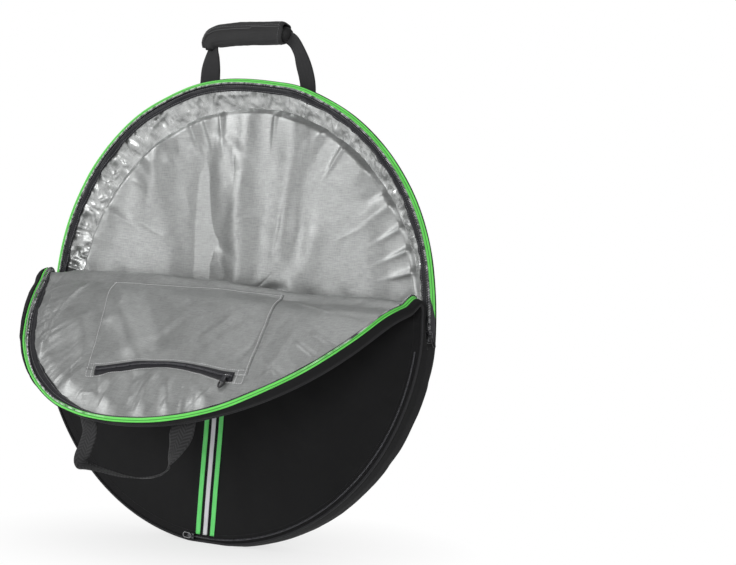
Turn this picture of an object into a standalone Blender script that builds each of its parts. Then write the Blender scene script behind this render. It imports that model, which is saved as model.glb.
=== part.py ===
"""Round padded bag for one bicycle wheel, standing upright with its front flap folded open.

Metres, +Z up, front towards -Y. The origin is on the floor, under the plane of the main zip.
Depth is the place along Y. A rim angle is in degrees, from the top of the bag towards +X.
"""
import math

import bmesh
import bpy
from mathutils import Vector

# Driving dimensions of the bag
RING_RADIUS = 0.400
FLOOR_SINK = 0.003
FRONT_DEPTH = 0.027
BACK_DEPTH = 0.044
FRONT_SEAM_INSET = 0.0035
BACK_SEAM_INSET = 0.029
BACK_SEAM_DROP = 0.012
BACK_BULGE = 0.010
BULGE_FLAT_SHARE = 0.80
BULGE_MIDDLE_SHARE = 0.40
BULGE_MIDDLE_DEPTH_SHARE = 0.82

# The fold that the front flap turns on
FOLD_RISE = 0.053
FOLD_GAP = 0.0005
FLAP_OPEN_ANGLE = 133.5

# Cloth, foam and the gap that touching pieces keep
FABRIC = 0.001
FOAM = 0.004
LINING = 0.0008
GUSSET_WALL = 0.0025
CLEARANCE = 0.0003
PIPING_RADIUS = 0.0022
PIPING_FOLD_GAP = 0.0054

# Main zip: a groove in the rim with a coil along each tape
GROOVE_HALF_WIDTH = 0.010
GROOVE_DEPTH = 0.007
TAPE_WALL = 0.0008
TAPE_FLANGE = 0.0025
TAPE_FLARE = 0.0031
COIL_RADIUS = 0.0013
COIL_SPREAD = 0.0026
BINDING_WIDTH = 0.0135
BINDING_WALL = 0.001
ZIP_END_ANGLE = 93.0
STOP_LENGTH = 0.004
STOP_HEIGHT = 0.004

# Sliders and their ring pulls
SLIDER_LENGTH = 0.012
SLIDER_WIDTH = 0.012
SLIDER_PLATE = 0.0015
SLIDER_RUNNING_GAP = 0.0009
POST_WALL = 0.0018
POST_LENGTH = 0.004
BRIDGE_LENGTH = 0.008
BRIDGE_WIDTH = 0.0024
BRIDGE_WALL = 0.0012
PULL_WIRE_RADIUS = 0.0009
PULL_LENGTH = 0.020
PULL_WIDTH = 0.0082
PULL_REST_TILT = 25.0

# Small zips: one coil on a flat tape, ridden by a saddle slider
SMALL_COIL_RADIUS = 0.0015
SMALL_SLIDER_WIDTH = 0.009
SMALL_SLIDER_GAP = 0.0006
SADDLE_WALL = 0.0015
SMALL_PULL_LENGTH = 0.015
SMALL_BRIDGE_WIDTH = 0.0016
SMALL_BRIDGE_WALL = 0.001
CORD_PULL_RADIUS = 0.0007
CORD_PULL_LENGTH = 0.022

# Zip along the lower right of the front seam
SEAM_ZIP_INSET = 0.008
SEAM_ZIP_START_ANGLE = 97.0
SEAM_ZIP_REST_ANGLE = 185.0
SEAM_ZIP_RUNOUT = 0.010

# Pocket sewn on the lining of the flap
POCKET_WIDTH = 0.330
POCKET_RISE = 0.025
POCKET_SHIFT = 0.022
POCKET_MARGIN = 0.0505
POCKET_ZIP_INSET = 0.0225
POCKET_TAPE_WIDTH = 0.013
POCKET_WALL = 0.001

# Stripes sewn down the middle of the front
STRIPE_WIDTH = 0.0095
STRIPE_PITCH = 0.0155
STRIPE_WALL = 0.0008
STRIPE_FOLD_GAP = 0.0025

# Webbing handles, sewn to the back panel and to the flap
WEBBING = 0.0024
WEBBING_WIDTH = 0.038
HANDLE_SPAN = 0.208
TAB_LENGTH = 0.045
BACK_LOOP_HEIGHT = 0.139
FRONT_WEBBING_WIDTH = 0.032
FRONT_LOOP_HEIGHT = 0.112
FRONT_TAB_INSET = 0.047
GRIP_LENGTH = 0.168
GRIP_HEIGHT = 0.038
GRIP_DEPTH = 0.030
GRIP_SHIFT = -0.027
GRIP_EDGE = 0.006
LOOP_THICKNESS = 0.0030

# A loop as (place across in half spans, height in loop heights, width in webbing widths)
BACK_LOOP_SHARES = (
    (-1.000, 0.00, 1.00),
    (-0.990, 0.35, 1.00),
    (-0.975, 0.60, 0.76),
    (-0.960, 0.76, 0.50),
    (-0.905, 0.90, 0.42),
    (-0.790, 0.98, 0.44),
    (-0.600, 1.00, 0.53),
    (-0.100, 1.00, 0.53),
    (0.480, 1.00, 0.53),
    (0.680, 0.95, 0.55),
    (0.820, 0.80, 0.66),
    (0.950, 0.50, 0.92),
    (1.010, 0.25, 1.00),
    (1.000, 0.00, 1.00),
)
FRONT_LOOP_SHARES = (
    (-0.960, 0.00, 1.00),
    (-1.010, 0.35, 1.00),
    (-1.030, 0.62, 0.72),
    (-0.960, 0.86, 0.36),
    (-0.740, 0.97, 0.28),
    (-0.200, 1.03, 0.26),
    (0.260, 1.00, 0.26),
    (0.640, 0.90, 0.32),
    (0.860, 0.68, 0.56),
    (0.990, 0.35, 0.95),
    (1.040, 0.00, 1.00),
)
CURVE_STEPS = 3

# Facets
ROUND_STEPS = 72
FACET_DEGREES = 360 / ROUND_STEPS
CUT_MARGIN = 0.050
WELD = 0.00003
SEAM_WELD = 0.0001
SHARP_ANGLE = 35

# Places worked out from the dimensions above
RING_HEIGHT = RING_RADIUS - FLOOR_SINK
FRONT_SEAM_RADIUS = RING_RADIUS - FRONT_SEAM_INSET
BACK_SEAM_RADIUS = RING_RADIUS - BACK_SEAM_INSET
FOLD_HEIGHT = RING_HEIGHT + FOLD_RISE
HINGE_DEPTH = -FRONT_DEPTH - CLEARANCE
FOLD_ANGLE = math.degrees(math.acos(FOLD_RISE / RING_RADIUS))
FOLD_GAP_ANGLE = math.degrees(FOLD_GAP / RING_RADIUS)
FRONT_RIM_DEPTH = -FRONT_DEPTH + PIPING_RADIUS + CLEARANCE
BACK_RIM_DEPTH = BACK_DEPTH - PIPING_RADIUS - CLEARANCE
GUSSET_EDGE_DEPTH = GROOVE_HALF_WIDTH + CLEARANCE
COIL_RING_RADIUS = RING_RADIUS - GROOVE_DEPTH
FRONT_PANEL_RADIUS = FRONT_SEAM_RADIUS - PIPING_RADIUS - CLEARANCE
BACK_PANEL_RADIUS = BACK_SEAM_RADIUS - PIPING_RADIUS - CLEARANCE
SLIDER_HALF_ANGLE = math.degrees((SLIDER_LENGTH / 2 + CLEARANCE) / COIL_RING_RADIUS)
STOP_ANGLE = math.degrees(STOP_LENGTH / COIL_RING_RADIUS)
STOP_START_ANGLE = ZIP_END_ANGLE + SLIDER_HALF_ANGLE
GUSSET_LOWER_ANGLE = STOP_START_ANGLE + STOP_ANGLE + math.degrees(CLEARANCE / COIL_RING_RADIUS)
SEAM_ZIP_RADIUS = FRONT_SEAM_RADIUS - SEAM_ZIP_INSET
SEAM_RUNOUT_ANGLE = math.degrees(SEAM_ZIP_RUNOUT / SEAM_ZIP_RADIUS)
POCKET_ZIP_LENGTH = POCKET_WIDTH - 2 * POCKET_ZIP_INSET
POCKET_CORNER_REACH = math.sqrt(FRONT_PANEL_RADIUS ** 2 - (POCKET_SHIFT + POCKET_WIDTH / 2) ** 2)
POCKET_HEAD = RING_HEIGHT + POCKET_CORNER_REACH - POCKET_MARGIN - POCKET_TAPE_WIDTH - CLEARANCE
STRIPE_REACH = SEAM_ZIP_RADIUS - SMALL_SLIDER_WIDTH / 2 - CLEARANCE

# Colour, roughness and metallic value of each finish
BLACK_CLOTH = ((0.018, 0.018, 0.020), 0.80, 0.0)
BLACK_WEBBING = ((0.022, 0.022, 0.024), 0.72, 0.0)
BLACK_TRIM = ((0.014, 0.014, 0.016), 0.55, 0.0)
SILVER_LINING = ((0.40, 0.41, 0.41), 0.38, 0.35)
FOAM_GREY = ((0.28, 0.28, 0.29), 0.90, 0.0)
GREEN_TAPE = ((0.13, 0.62, 0.11), 0.60, 0.0)
REFLECTIVE_GREY = ((0.62, 0.63, 0.65), 0.35, 0.2)
COIL_GREY = ((0.10, 0.10, 0.11), 0.35, 0.0)
DARK_METAL = ((0.05, 0.05, 0.055), 0.35, 0.9)


def clear_scene():
    """Remove the objects of the file that the script starts in."""
    for item in list(bpy.data.objects):
        bpy.data.objects.remove(item, do_unlink=True)


def new_collection(name):
    """Collection linked to the scene."""
    collection = bpy.data.collections.new(name)
    bpy.context.scene.collection.children.link(collection)
    return collection


clear_scene()
PARTS = new_collection("bike_wheel_bag")
CUTTERS = new_collection("cutters")


def finish_material(name, finish):
    """Principled material of one sub-part."""
    colour, roughness, metallic = finish
    material = bpy.data.materials.new(name)
    material.use_nodes = True
    shader = material.node_tree.nodes["Principled BSDF"]
    shader.inputs["Base Color"].default_value = (*colour, 1.0)
    shader.inputs["Roughness"].default_value = roughness
    shader.inputs["Metallic"].default_value = metallic
    return material


def add_object(name, data, finish=None, parent=None):
    """Object of a sub-part or, without a finish, of a cutter."""
    item = bpy.data.objects.new(name, data)
    if finish is None:
        CUTTERS.objects.link(item)
        item.hide_render = True
        item.display_type = "WIRE"
    else:
        PARTS.objects.link(item)
        data.materials.append(finish_material(name, finish))
    if parent is not None:
        item.parent = parent
    return item


def add_pivot(name, place, parent=None):
    """Empty on a joint's axis; place is in its parent's frame."""
    pivot = bpy.data.objects.new(name, None)
    PARTS.objects.link(pivot)
    pivot.location = place
    if parent is not None:
        pivot.parent = parent
    return pivot


def mesh_from_bmesh(name, shape):
    """Mesh data with outward faces."""
    bmesh.ops.recalc_face_normals(shape, faces=shape.faces[:])
    data = bpy.data.meshes.new(name)
    shape.to_mesh(data)
    shape.free()
    return data


def box_data(name, low, high):
    """Mesh of an upright box between two corners."""
    shape = bmesh.new()
    bmesh.ops.create_cube(shape, size=1.0)
    middle = (Vector(low) + Vector(high)) / 2
    size = Vector(high) - Vector(low)
    for vertex in shape.verts:
        vertex.co = Vector(part * side for part, side in zip(vertex.co, size)) + middle
    return mesh_from_bmesh(name, shape)


def box(name, low, high, finish=None, parent=None):
    """Upright box between two corners, given in its parent's frame."""
    return add_object(name, box_data(name, low, high), finish, parent)


def boolean(item, other, operation):
    """Cut one object by another, or join the other to it."""
    modifier = item.modifiers.new(operation.lower(), "BOOLEAN")
    modifier.operation = operation
    modifier.solver = "EXACT"
    modifier.object = other


def turned(name, profile, finish, centre, parent=None):
    """Disc turned about the line along Y through its centre; profile is (radius, depth), axis to axis."""
    data = bpy.data.meshes.new(name)
    points = [(radius, depth, 0.0) for radius, depth in profile]
    data.from_pydata(points, [(i, i + 1) for i in range(len(points) - 1)], [])
    item = add_object(name, data, finish, parent)
    item.location = centre
    screw = item.modifiers.new("turn", "SCREW")
    screw.axis = "Y"
    screw.steps = ROUND_STEPS
    screw.render_steps = ROUND_STEPS
    screw.use_merge_vertices = True
    screw.merge_threshold = SEAM_WELD
    return item


def facet_angles(start, end):
    """Both ends of a stretch of rim and each facet line between them."""
    first = math.floor(start / FACET_DEGREES) + 1
    last = math.ceil(end / FACET_DEGREES) - 1
    inner = [i * FACET_DEGREES for i in range(first, last + 1)]
    return [start, *inner, end]


def centre_drop(depth):
    """How far the rim's centre lies below the ring's centre, which grows towards the back seam."""
    share = (depth - GUSSET_EDGE_DEPTH) / (BACK_DEPTH - GUSSET_EDGE_DEPTH)
    return BACK_SEAM_DROP * max(share, 0.0)


def rim_radius(depth):
    """Outer radius of the gusset at a depth."""
    if depth < -GUSSET_EDGE_DEPTH:
        share = (-depth - GUSSET_EDGE_DEPTH) / (FRONT_DEPTH - GUSSET_EDGE_DEPTH)
        return RING_RADIUS + (FRONT_SEAM_RADIUS - RING_RADIUS) * share
    if depth > GUSSET_EDGE_DEPTH:
        share = (depth - GUSSET_EDGE_DEPTH) / (BACK_DEPTH - GUSSET_EDGE_DEPTH)
        return RING_RADIUS + (BACK_SEAM_RADIUS - RING_RADIUS) * share
    return RING_RADIUS


def rim_point(radius, depth, angle, lift):
    """Point on the rim, kept at least lift above the floor."""
    turn = math.radians(angle)
    height = RING_HEIGHT - centre_drop(depth) + radius * math.cos(turn)
    return Vector((radius * math.sin(turn), depth, max(height, lift)))


def band(name, section, start, end, finish, parent=None):
    """Strip along the rim between two angles; section is a closed outline of (radius, depth, lift).

    Every facet is split along the same diagonal, so that layers over each other keep their gap.
    """
    shape = bmesh.new()
    loops = []
    for angle in facet_angles(start, end):
        points = [rim_point(radius, depth, angle, lift) for radius, depth, lift in section]
        loops.append([shape.verts.new(point) for point in points])
    for here, there in zip(loops, loops[1:]):
        for i in range(len(section)):
            j = (i + 1) % len(section)
            near, far = (i, j) if section[i][1] < section[j][1] else (j, i)
            shape.faces.new((here[near], here[far], there[far]))
            shape.faces.new((here[near], there[far], there[near]))
    shape.faces.new(loops[0])
    shape.faces.new(loops[-1])
    return place_on_body(add_object(name, mesh_from_bmesh(name, shape), finish), parent)


def place_on_body(item, parent):
    """Hang an object that is modelled in the closed bag's frame on the flap's pivot."""
    if parent is not None:
        item.parent = parent
        item.location = item.location - parent.location
    return item


def tube_curve(name, points, radius, cyclic=False, sides=1):
    """Curve object of a round cord through points."""
    data = bpy.data.curves.new(name, "CURVE")
    data.dimensions = "3D"
    data.bevel_depth = radius
    data.bevel_resolution = sides
    data.use_fill_caps = not cyclic
    spline = data.splines.new("POLY")
    spline.points.add(len(points) - 1)
    for knot, point in zip(spline.points, points):
        knot.co = (*point, 1.0)
    spline.use_cyclic_u = cyclic
    return data


def rim_cord(name, radius, depth, cord_radius, start, end, finish, parent=None, sides=1):
    """Cord along the rim between two angles."""
    angles = facet_angles(start, end)
    points = [rim_point(radius, depth, angle, 0.0) for angle in angles]
    item = add_object(name, tube_curve(name, points, cord_radius, sides=sides), finish)
    return place_on_body(item, parent)


def as_mesh(item):
    """Mesh object in the place of a curve object, with its caps welded."""
    bpy.context.view_layer.update()
    evaluated = item.evaluated_get(bpy.context.evaluated_depsgraph_get())
    data = bpy.data.meshes.new_from_object(evaluated)
    shape = bmesh.new()
    shape.from_mesh(data)
    bmesh.ops.remove_doubles(shape, verts=shape.verts[:], dist=WELD)
    bmesh.ops.recalc_face_normals(shape, faces=shape.faces[:])
    shape.to_mesh(data)
    shape.free()
    name = item.name
    home = item.users_collection[0]
    solid = bpy.data.objects.new(name, data)
    home.objects.link(solid)
    solid.matrix_world = item.matrix_world.copy()
    solid.hide_render = item.hide_render
    solid.display_type = item.display_type
    bpy.data.objects.remove(item, do_unlink=True)
    solid.name = name
    return solid


def flat_outline(name, points, thickness, finish=None):
    """Plate in the XZ plane through the origin, from a closed outline of (x, z)."""
    data = bpy.data.curves.new(name, "CURVE")
    data.dimensions = "2D"
    data.fill_mode = "BOTH"
    data.extrude = thickness / 2
    spline = data.splines.new("POLY")
    spline.points.add(len(points) - 1)
    for knot, (across, height) in zip(spline.points, points):
        knot.co = (across, height, 0.0, 1.0)
    spline.use_cyclic_u = True
    item = add_object(name, data, finish)
    item.rotation_euler = (math.radians(90), 0.0, 0.0)
    return item


def smooth_path(knots, steps):
    """Points of a Catmull-Rom curve through knots, which are tuples of any length."""
    ends = [knots[0], *knots, knots[-1]]
    path = []
    for a, b, c, d in zip(ends, ends[1:], ends[2:], ends[3:]):
        for step in range(steps):
            t = step / steps
            path.append(tuple(
                0.5 * (2 * q + (r - p) * t + (2 * p - 5 * q + 4 * r - s) * t ** 2
                       + (3 * q - p - 3 * r + s) * t ** 3)
                for p, q, r, s in zip(a, b, c, d)))
    path.append(knots[-1])
    return path


def loop_outline(shares, span, height, width, extra=0.0):
    """Outline of a webbing loop from its shares, made wider by extra on each side."""
    path = smooth_path(shares, CURVE_STEPS)
    knots = [(x * span / 2, z * height, w * width / 2 + extra) for x, z, w in path]
    outer = []
    inner = []
    for i, (x, z, half) in enumerate(knots):
        before = knots[max(i - 1, 0)]
        after = knots[min(i + 1, len(knots) - 1)]
        along = Vector((after[0] - before[0], after[1] - before[1])).normalized()
        if i in (0, len(knots) - 1):
            along = Vector((0.0, math.copysign(1.0, along.y)))
        outer.append((x - along.y * half, z + along.x * half))
        inner.append((x + along.y * half, z - along.x * half))
    return outer + inner[::-1]


def slab_cutter(name, low, high, parent=None):
    """Cutter across the whole bag between two heights."""
    reach = RING_RADIUS + CUT_MARGIN
    item = box(name, (-reach, -reach, low), (reach, reach, high))
    return place_on_body(item, parent)


FLAP = add_pivot("flap_fold", (0.0, HINGE_DEPTH, FOLD_HEIGHT))
TOP = RING_HEIGHT + RING_RADIUS + CUT_MARGIN
ABOVE_FOLD = slab_cutter("cut_above_fold", FOLD_HEIGHT - FOLD_GAP, TOP)
BELOW_FOLD = slab_cutter("cut_below_fold", -CUT_MARGIN, FOLD_HEIGHT + FOLD_GAP, FLAP)
FLOOR = slab_cutter("cut_floor", -CUT_MARGIN, CLEARANCE)


def disc_profile(radius, outer, inner):
    """Flat disc between two depths, from the axis round its edge to the axis."""
    return [(0.0, outer), (radius, outer), (radius, inner), (0.0, inner)]


def front_layers():
    """Three layers of the front, from the outside in, as (name, radius, outer depth, inner depth, finish)."""
    panel = -FRONT_DEPTH
    padding = panel + FABRIC + CLEARANCE
    lining = padding + FOAM + CLEARANCE
    inner_radius = FRONT_SEAM_RADIUS - GUSSET_WALL - CLEARANCE
    return (
        ("panel", FRONT_PANEL_RADIUS, panel, panel + FABRIC, BLACK_CLOTH),
        ("padding", inner_radius - CLEARANCE, padding, padding + FOAM, FOAM_GREY),
        ("lining", inner_radius - CLEARANCE, lining, lining + LINING, SILVER_LINING),
    )


def make_front():
    """Lower front and the flap above the fold: the same three layers on each side of it."""
    centre = (0.0, 0.0, RING_HEIGHT)
    for layer, radius, outer, inner, finish in front_layers():
        profile = disc_profile(radius, outer, inner)
        lower = turned(f"front_{layer}", profile, finish, centre)
        boolean(lower, ABOVE_FOLD, "DIFFERENCE")
        upper = place_on_body(turned(f"flap_{layer}", profile, finish, centre), FLAP)
        boolean(upper, BELOW_FOLD, "DIFFERENCE")


def bulged_profile(radius, outer, wall):
    """Back layer that swells towards the hub, of even thickness along Y."""
    middle = BACK_BULGE * BULGE_MIDDLE_DEPTH_SHARE
    face = [
        (0.0, outer + BACK_BULGE),
        (radius * BULGE_MIDDLE_SHARE, outer + middle),
        (radius * BULGE_FLAT_SHARE, outer),
        (radius, outer),
    ]
    return face + [(r, depth - wall) for r, depth in face[::-1]]


def make_back():
    """Back panel, its padding and its lining."""
    centre = (0.0, 0.0, RING_HEIGHT - BACK_SEAM_DROP)
    padding = BACK_DEPTH - FABRIC - CLEARANCE
    lining = padding - FOAM - CLEARANCE
    slope = (RING_RADIUS - BACK_SEAM_RADIUS) / (BACK_DEPTH - GUSSET_EDGE_DEPTH)
    radial_wall = GUSSET_WALL * math.hypot(1.0, slope)
    inner_radius = BACK_SEAM_RADIUS - radial_wall
    turned("back_panel", bulged_profile(BACK_PANEL_RADIUS, BACK_DEPTH, FABRIC), BLACK_CLOTH, centre)
    turned("back_padding", bulged_profile(inner_radius, padding, FOAM), FOAM_GREY, centre)
    turned("back_lining", bulged_profile(inner_radius, lining, LINING), SILVER_LINING, centre)


def gusset_section(depths, skin, wall):
    """Closed outline of a gusset layer that starts skin below the outside and is wall thick."""
    outside = []
    inside = []
    for depth in depths:
        slope = 0.0
        if depth > GUSSET_EDGE_DEPTH:
            slope = (RING_RADIUS - BACK_SEAM_RADIUS) / (BACK_DEPTH - GUSSET_EDGE_DEPTH)
        stretch = math.hypot(1.0, slope)
        outside.append((rim_radius(depth) - skin * stretch, depth, skin))
        inside.append((rim_radius(depth) - (skin + wall) * stretch, depth, skin + wall))
    return outside + inside[::-1]


def make_gussets():
    """Walls of the rim: one piece below the zip, one behind it, its two front ends and the flap's."""
    lining_skin = GUSSET_WALL + CLEARANCE
    front = (FRONT_RIM_DEPTH, -GUSSET_EDGE_DEPTH)
    inner_front = -FRONT_DEPTH + FABRIC + FOAM + LINING + 4 * CLEARANCE
    inner_back = BACK_DEPTH - FABRIC - FOAM - LINING - 4 * CLEARANCE
    layers = (
        ("", 0.0, GUSSET_WALL, (FRONT_RIM_DEPTH, inner_front), (inner_back, BACK_RIM_DEPTH), BLACK_CLOTH),
        ("_lining", lining_skin, LINING, (inner_front,), (inner_back,), SILVER_LINING),
    )
    zip_side = GUSSET_LOWER_ANGLE - math.degrees(CLEARANCE / RING_RADIUS)
    flap_side = FOLD_ANGLE - FOLD_GAP_ANGLE
    for ending, skin, wall, front_knots, back_knots, finish in layers:
        front_half = (*front_knots, -GUSSET_EDGE_DEPTH)
        back_half = (GUSSET_EDGE_DEPTH, *back_knots)
        band(f"gusset_lower{ending}", gusset_section(front_half + back_half, skin, wall),
             GUSSET_LOWER_ANGLE, 360 - GUSSET_LOWER_ANGLE, finish)
        band(f"gusset_upper{ending}", gusset_section(back_half, skin, wall), -zip_side, zip_side, finish)
        band(f"flap_gusset{ending}", gusset_section(front_half, skin, wall),
             -flap_side, flap_side, finish, FLAP)
    for side, start, end in front_ends():
        band(f"gusset_end_{side}", gusset_section(front, 0.0, GUSSET_WALL), start, end, BLACK_CLOTH)


def front_ends():
    """Short stretches of the front rim between the fold and the zip's ends, as (side, start, end)."""
    top = FOLD_ANGLE + FOLD_GAP_ANGLE
    bottom = GUSSET_LOWER_ANGLE - math.degrees(CLEARANCE / RING_RADIUS)
    return (("right", top, bottom), ("left", -bottom, -top))


def make_piping():
    """Cords sewn in the seams round the back and the front."""
    back = [rim_point(BACK_SEAM_RADIUS, BACK_DEPTH, i * FACET_DEGREES, 0.0) for i in range(ROUND_STEPS)]
    add_object("piping_back", tube_curve("piping_back", back, PIPING_RADIUS, cyclic=True), BLACK_TRIM)
    gap = math.degrees(PIPING_FOLD_GAP / RING_RADIUS)
    low = FOLD_ANGLE + gap
    lower = rim_cord("piping_front", FRONT_SEAM_RADIUS, -FRONT_DEPTH, PIPING_RADIUS,
                     low, 360 - low, BLACK_TRIM)
    boolean(as_mesh(lower), FLOOR, "DIFFERENCE")
    high = FOLD_ANGLE - gap
    rim_cord("piping_flap", FRONT_SEAM_RADIUS, -FRONT_DEPTH, PIPING_RADIUS, -high, high, BLACK_TRIM, FLAP)


def tape_section(side):
    """Zip tape: a flat flange beside the coil, then flared out to the edge of the gusset."""
    foot = COIL_SPREAD + COIL_RADIUS + CLEARANCE
    bend = foot + TAPE_FLANGE
    lip = bend + TAPE_FLARE
    base = COIL_RING_RADIUS
    outline = (
        (RING_RADIUS, lip),
        (base + TAPE_WALL / 2, bend),
        (base + TAPE_WALL / 2, foot),
        (base - TAPE_WALL / 2, foot),
        (base - TAPE_WALL / 2, bend + TAPE_WALL / 2),
        (RING_RADIUS - TAPE_WALL, lip + TAPE_WALL / 2),
    )
    return [(radius, side * depth, 0.0) for radius, depth in outline]


def binding_section(side):
    """Binding that stands inwards behind the tape's bend."""
    near = COIL_SPREAD + COIL_RADIUS + CLEARANCE + TAPE_FLANGE
    top = COIL_RING_RADIUS - TAPE_WALL / 2 - CLEARANCE
    outline = (
        (top, near),
        (top, near + BINDING_WALL),
        (top - BINDING_WIDTH, near + BINDING_WALL),
        (top - BINDING_WIDTH, near),
    )
    return [(radius, side * depth, 0.0) for radius, depth in outline]


def make_zip():
    """Tapes, coils, bindings and end stops of the main zip."""
    end = STOP_START_ANGLE - math.degrees(CLEARANCE / COIL_RING_RADIUS)
    flap_end = FOLD_ANGLE - FOLD_GAP_ANGLE
    reaches = (("body", 1, end, None), ("flap", -1, flap_end, FLAP))
    for owner, side, reach, parent in reaches:
        depth = side * COIL_SPREAD
        band(f"zip_tape_{owner}", tape_section(side), -reach, reach, GREEN_TAPE, parent)
        rim_cord(f"zip_coil_{owner}", COIL_RING_RADIUS, depth, COIL_RADIUS, -reach, reach, COIL_GREY, parent)
        band(f"zip_binding_{owner}", binding_section(side), -reach, reach, BLACK_TRIM, parent)
    top = FOLD_ANGLE + FOLD_GAP_ANGLE
    for name, start, stop in (("right", top, end), ("left", -end, -top)):
        band(f"zip_tape_end_{name}", tape_section(-1), start, stop, GREEN_TAPE)
        rim_cord(f"zip_coil_end_{name}", COIL_RING_RADIUS, -COIL_SPREAD, COIL_RADIUS, start, stop, COIL_GREY)
    half = COIL_SPREAD + COIL_RADIUS
    low = COIL_RING_RADIUS - STOP_HEIGHT / 2
    high = COIL_RING_RADIUS + STOP_HEIGHT / 2
    section = [(high, -half, 0.0), (high, half, 0.0), (low, half, 0.0), (low, -half, 0.0)]
    last = STOP_START_ANGLE + STOP_ANGLE
    band("zip_stop_right", section, STOP_START_ANGLE, last, DARK_METAL)
    band("zip_stop_left", section, -last, -STOP_START_ANGLE, DARK_METAL)


def join_boxes(name, boxes, finish, parent):
    """One solid made of boxes that run into each other, each as (low corner, high corner)."""
    first, *others = boxes
    item = box(name, *first, finish, parent)
    for i, (low, high) in enumerate(others):
        boolean(item, box(f"{name}_join_{i}", low, high, None, parent), "UNION")
    return item


def bridge_boxes(plate_top, bridge_gap, width=BRIDGE_WIDTH, wall=BRIDGE_WALL):
    """Bridge along X over a slider's plate, as two feet and a bar, in a frame with the plate's face up."""
    half_length = BRIDGE_LENGTH / 2
    half_width = width / 2
    root = plate_top - SLIDER_PLATE / 2
    under = plate_top + bridge_gap
    joint = under + wall / 2
    return [
        ((-half_length, -half_width, root), (-half_length + wall, half_width, joint)),
        ((half_length - wall, -half_width, root), (half_length, half_width, joint)),
        ((-half_length, -half_width, under), (half_length, half_width, under + wall)),
    ]


def pull_data(name, length):
    """Ring pull in the XY plane: a bar on the Y axis and two sides that run to +X."""
    half = PULL_WIDTH / 2
    corner = PULL_WIDTH / 4
    outline = (
        (0.0, -half + corner),
        (0.0, half - corner),
        (corner, half),
        (length - corner, half),
        (length, half - corner),
        (length, -half + corner),
        (length - corner, -half),
        (corner, -half),
    )
    points = [(across, aside, 0.0) for across, aside in outline]
    return tube_curve(name, points, PULL_WIRE_RADIUS, cyclic=True)


def cord_pull_data(name, radius):
    """Cord loop in the XY plane, bent round the Z axis at the origin and lying along +X."""
    eighth = math.pi / 4
    far = CORD_PULL_LENGTH - 2 * radius
    points = []
    for centre, first in ((far, -2), (0.0, 2)):
        for step in range(5):
            turn = (first + step) * eighth
            points.append((centre + radius * math.cos(turn), radius * math.sin(turn), 0.0))
    return tube_curve(name, points, CORD_PULL_RADIUS, cyclic=True)


def make_main_sliders():
    """Two sliders that run on both coils round the ring's centre, each with its ring pull."""
    bridge_gap = 2 * (PULL_WIRE_RADIUS + CLEARANCE)
    outer_face = COIL_RING_RADIUS + COIL_RADIUS + SLIDER_RUNNING_GAP
    inner_face = COIL_RING_RADIUS - COIL_RADIUS - SLIDER_RUNNING_GAP
    top = outer_face + SLIDER_PLATE
    half_length = SLIDER_LENGTH / 2
    half_width = SLIDER_WIDTH / 2
    for name, side in (("right", 1), ("left", -1)):
        turn = add_pivot(f"slider_{name}_turn", (0.0, 0.0, RING_HEIGHT))
        turn.rotation_euler = (0.0, math.radians(side * ZIP_END_ANGLE), 0.0)
        nose = sorted((-side * half_length, -side * (half_length - POST_LENGTH)))
        post = (
            (nose[0], -POST_WALL / 2, inner_face - SLIDER_PLATE / 2),
            (nose[1], POST_WALL / 2, outer_face + SLIDER_PLATE / 2),
        )
        plates = [
            ((-half_length, -half_width, outer_face), (half_length, half_width, top)),
            post,
            ((-half_length, -half_width, inner_face - SLIDER_PLATE), (half_length, half_width, inner_face)),
        ]
        join_boxes(f"slider_{name}", plates + bridge_boxes(top, bridge_gap), DARK_METAL, turn)
        pivot = add_pivot(f"pull_{name}_pivot", (0.0, 0.0, top + bridge_gap / 2), turn)
        hang = 0.0 if side > 0 else math.pi
        pivot.rotation_euler = (0.0, hang - side * math.radians(PULL_REST_TILT), 0.0)
        add_object(f"pull_{name}", pull_data(f"pull_{name}", PULL_LENGTH), BLACK_TRIM, pivot)


def make_saddle_slider(name, parent, bridge_gap, bridge_width, bridge_wall):
    """Slider over one coil along X at the origin, its tape's face down; returns the plate's height."""
    under = SMALL_COIL_RADIUS + SMALL_SLIDER_GAP
    top = under + SLIDER_PLATE
    foot = -SMALL_COIL_RADIUS + CLEARANCE
    half_length = SLIDER_LENGTH / 2
    half_width = SMALL_SLIDER_WIDTH / 2
    cheek = half_width - SADDLE_WALL
    joint = under + SLIDER_PLATE / 2
    boxes = [
        ((-half_length, -half_width, under), (half_length, half_width, top)),
        ((-half_length, -half_width, foot), (half_length, -cheek, joint)),
        ((-half_length, cheek, foot), (half_length, half_width, joint)),
    ]
    bridge = bridge_boxes(top, bridge_gap, bridge_width, bridge_wall)
    join_boxes(name, boxes + bridge, DARK_METAL, parent)
    return top


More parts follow.
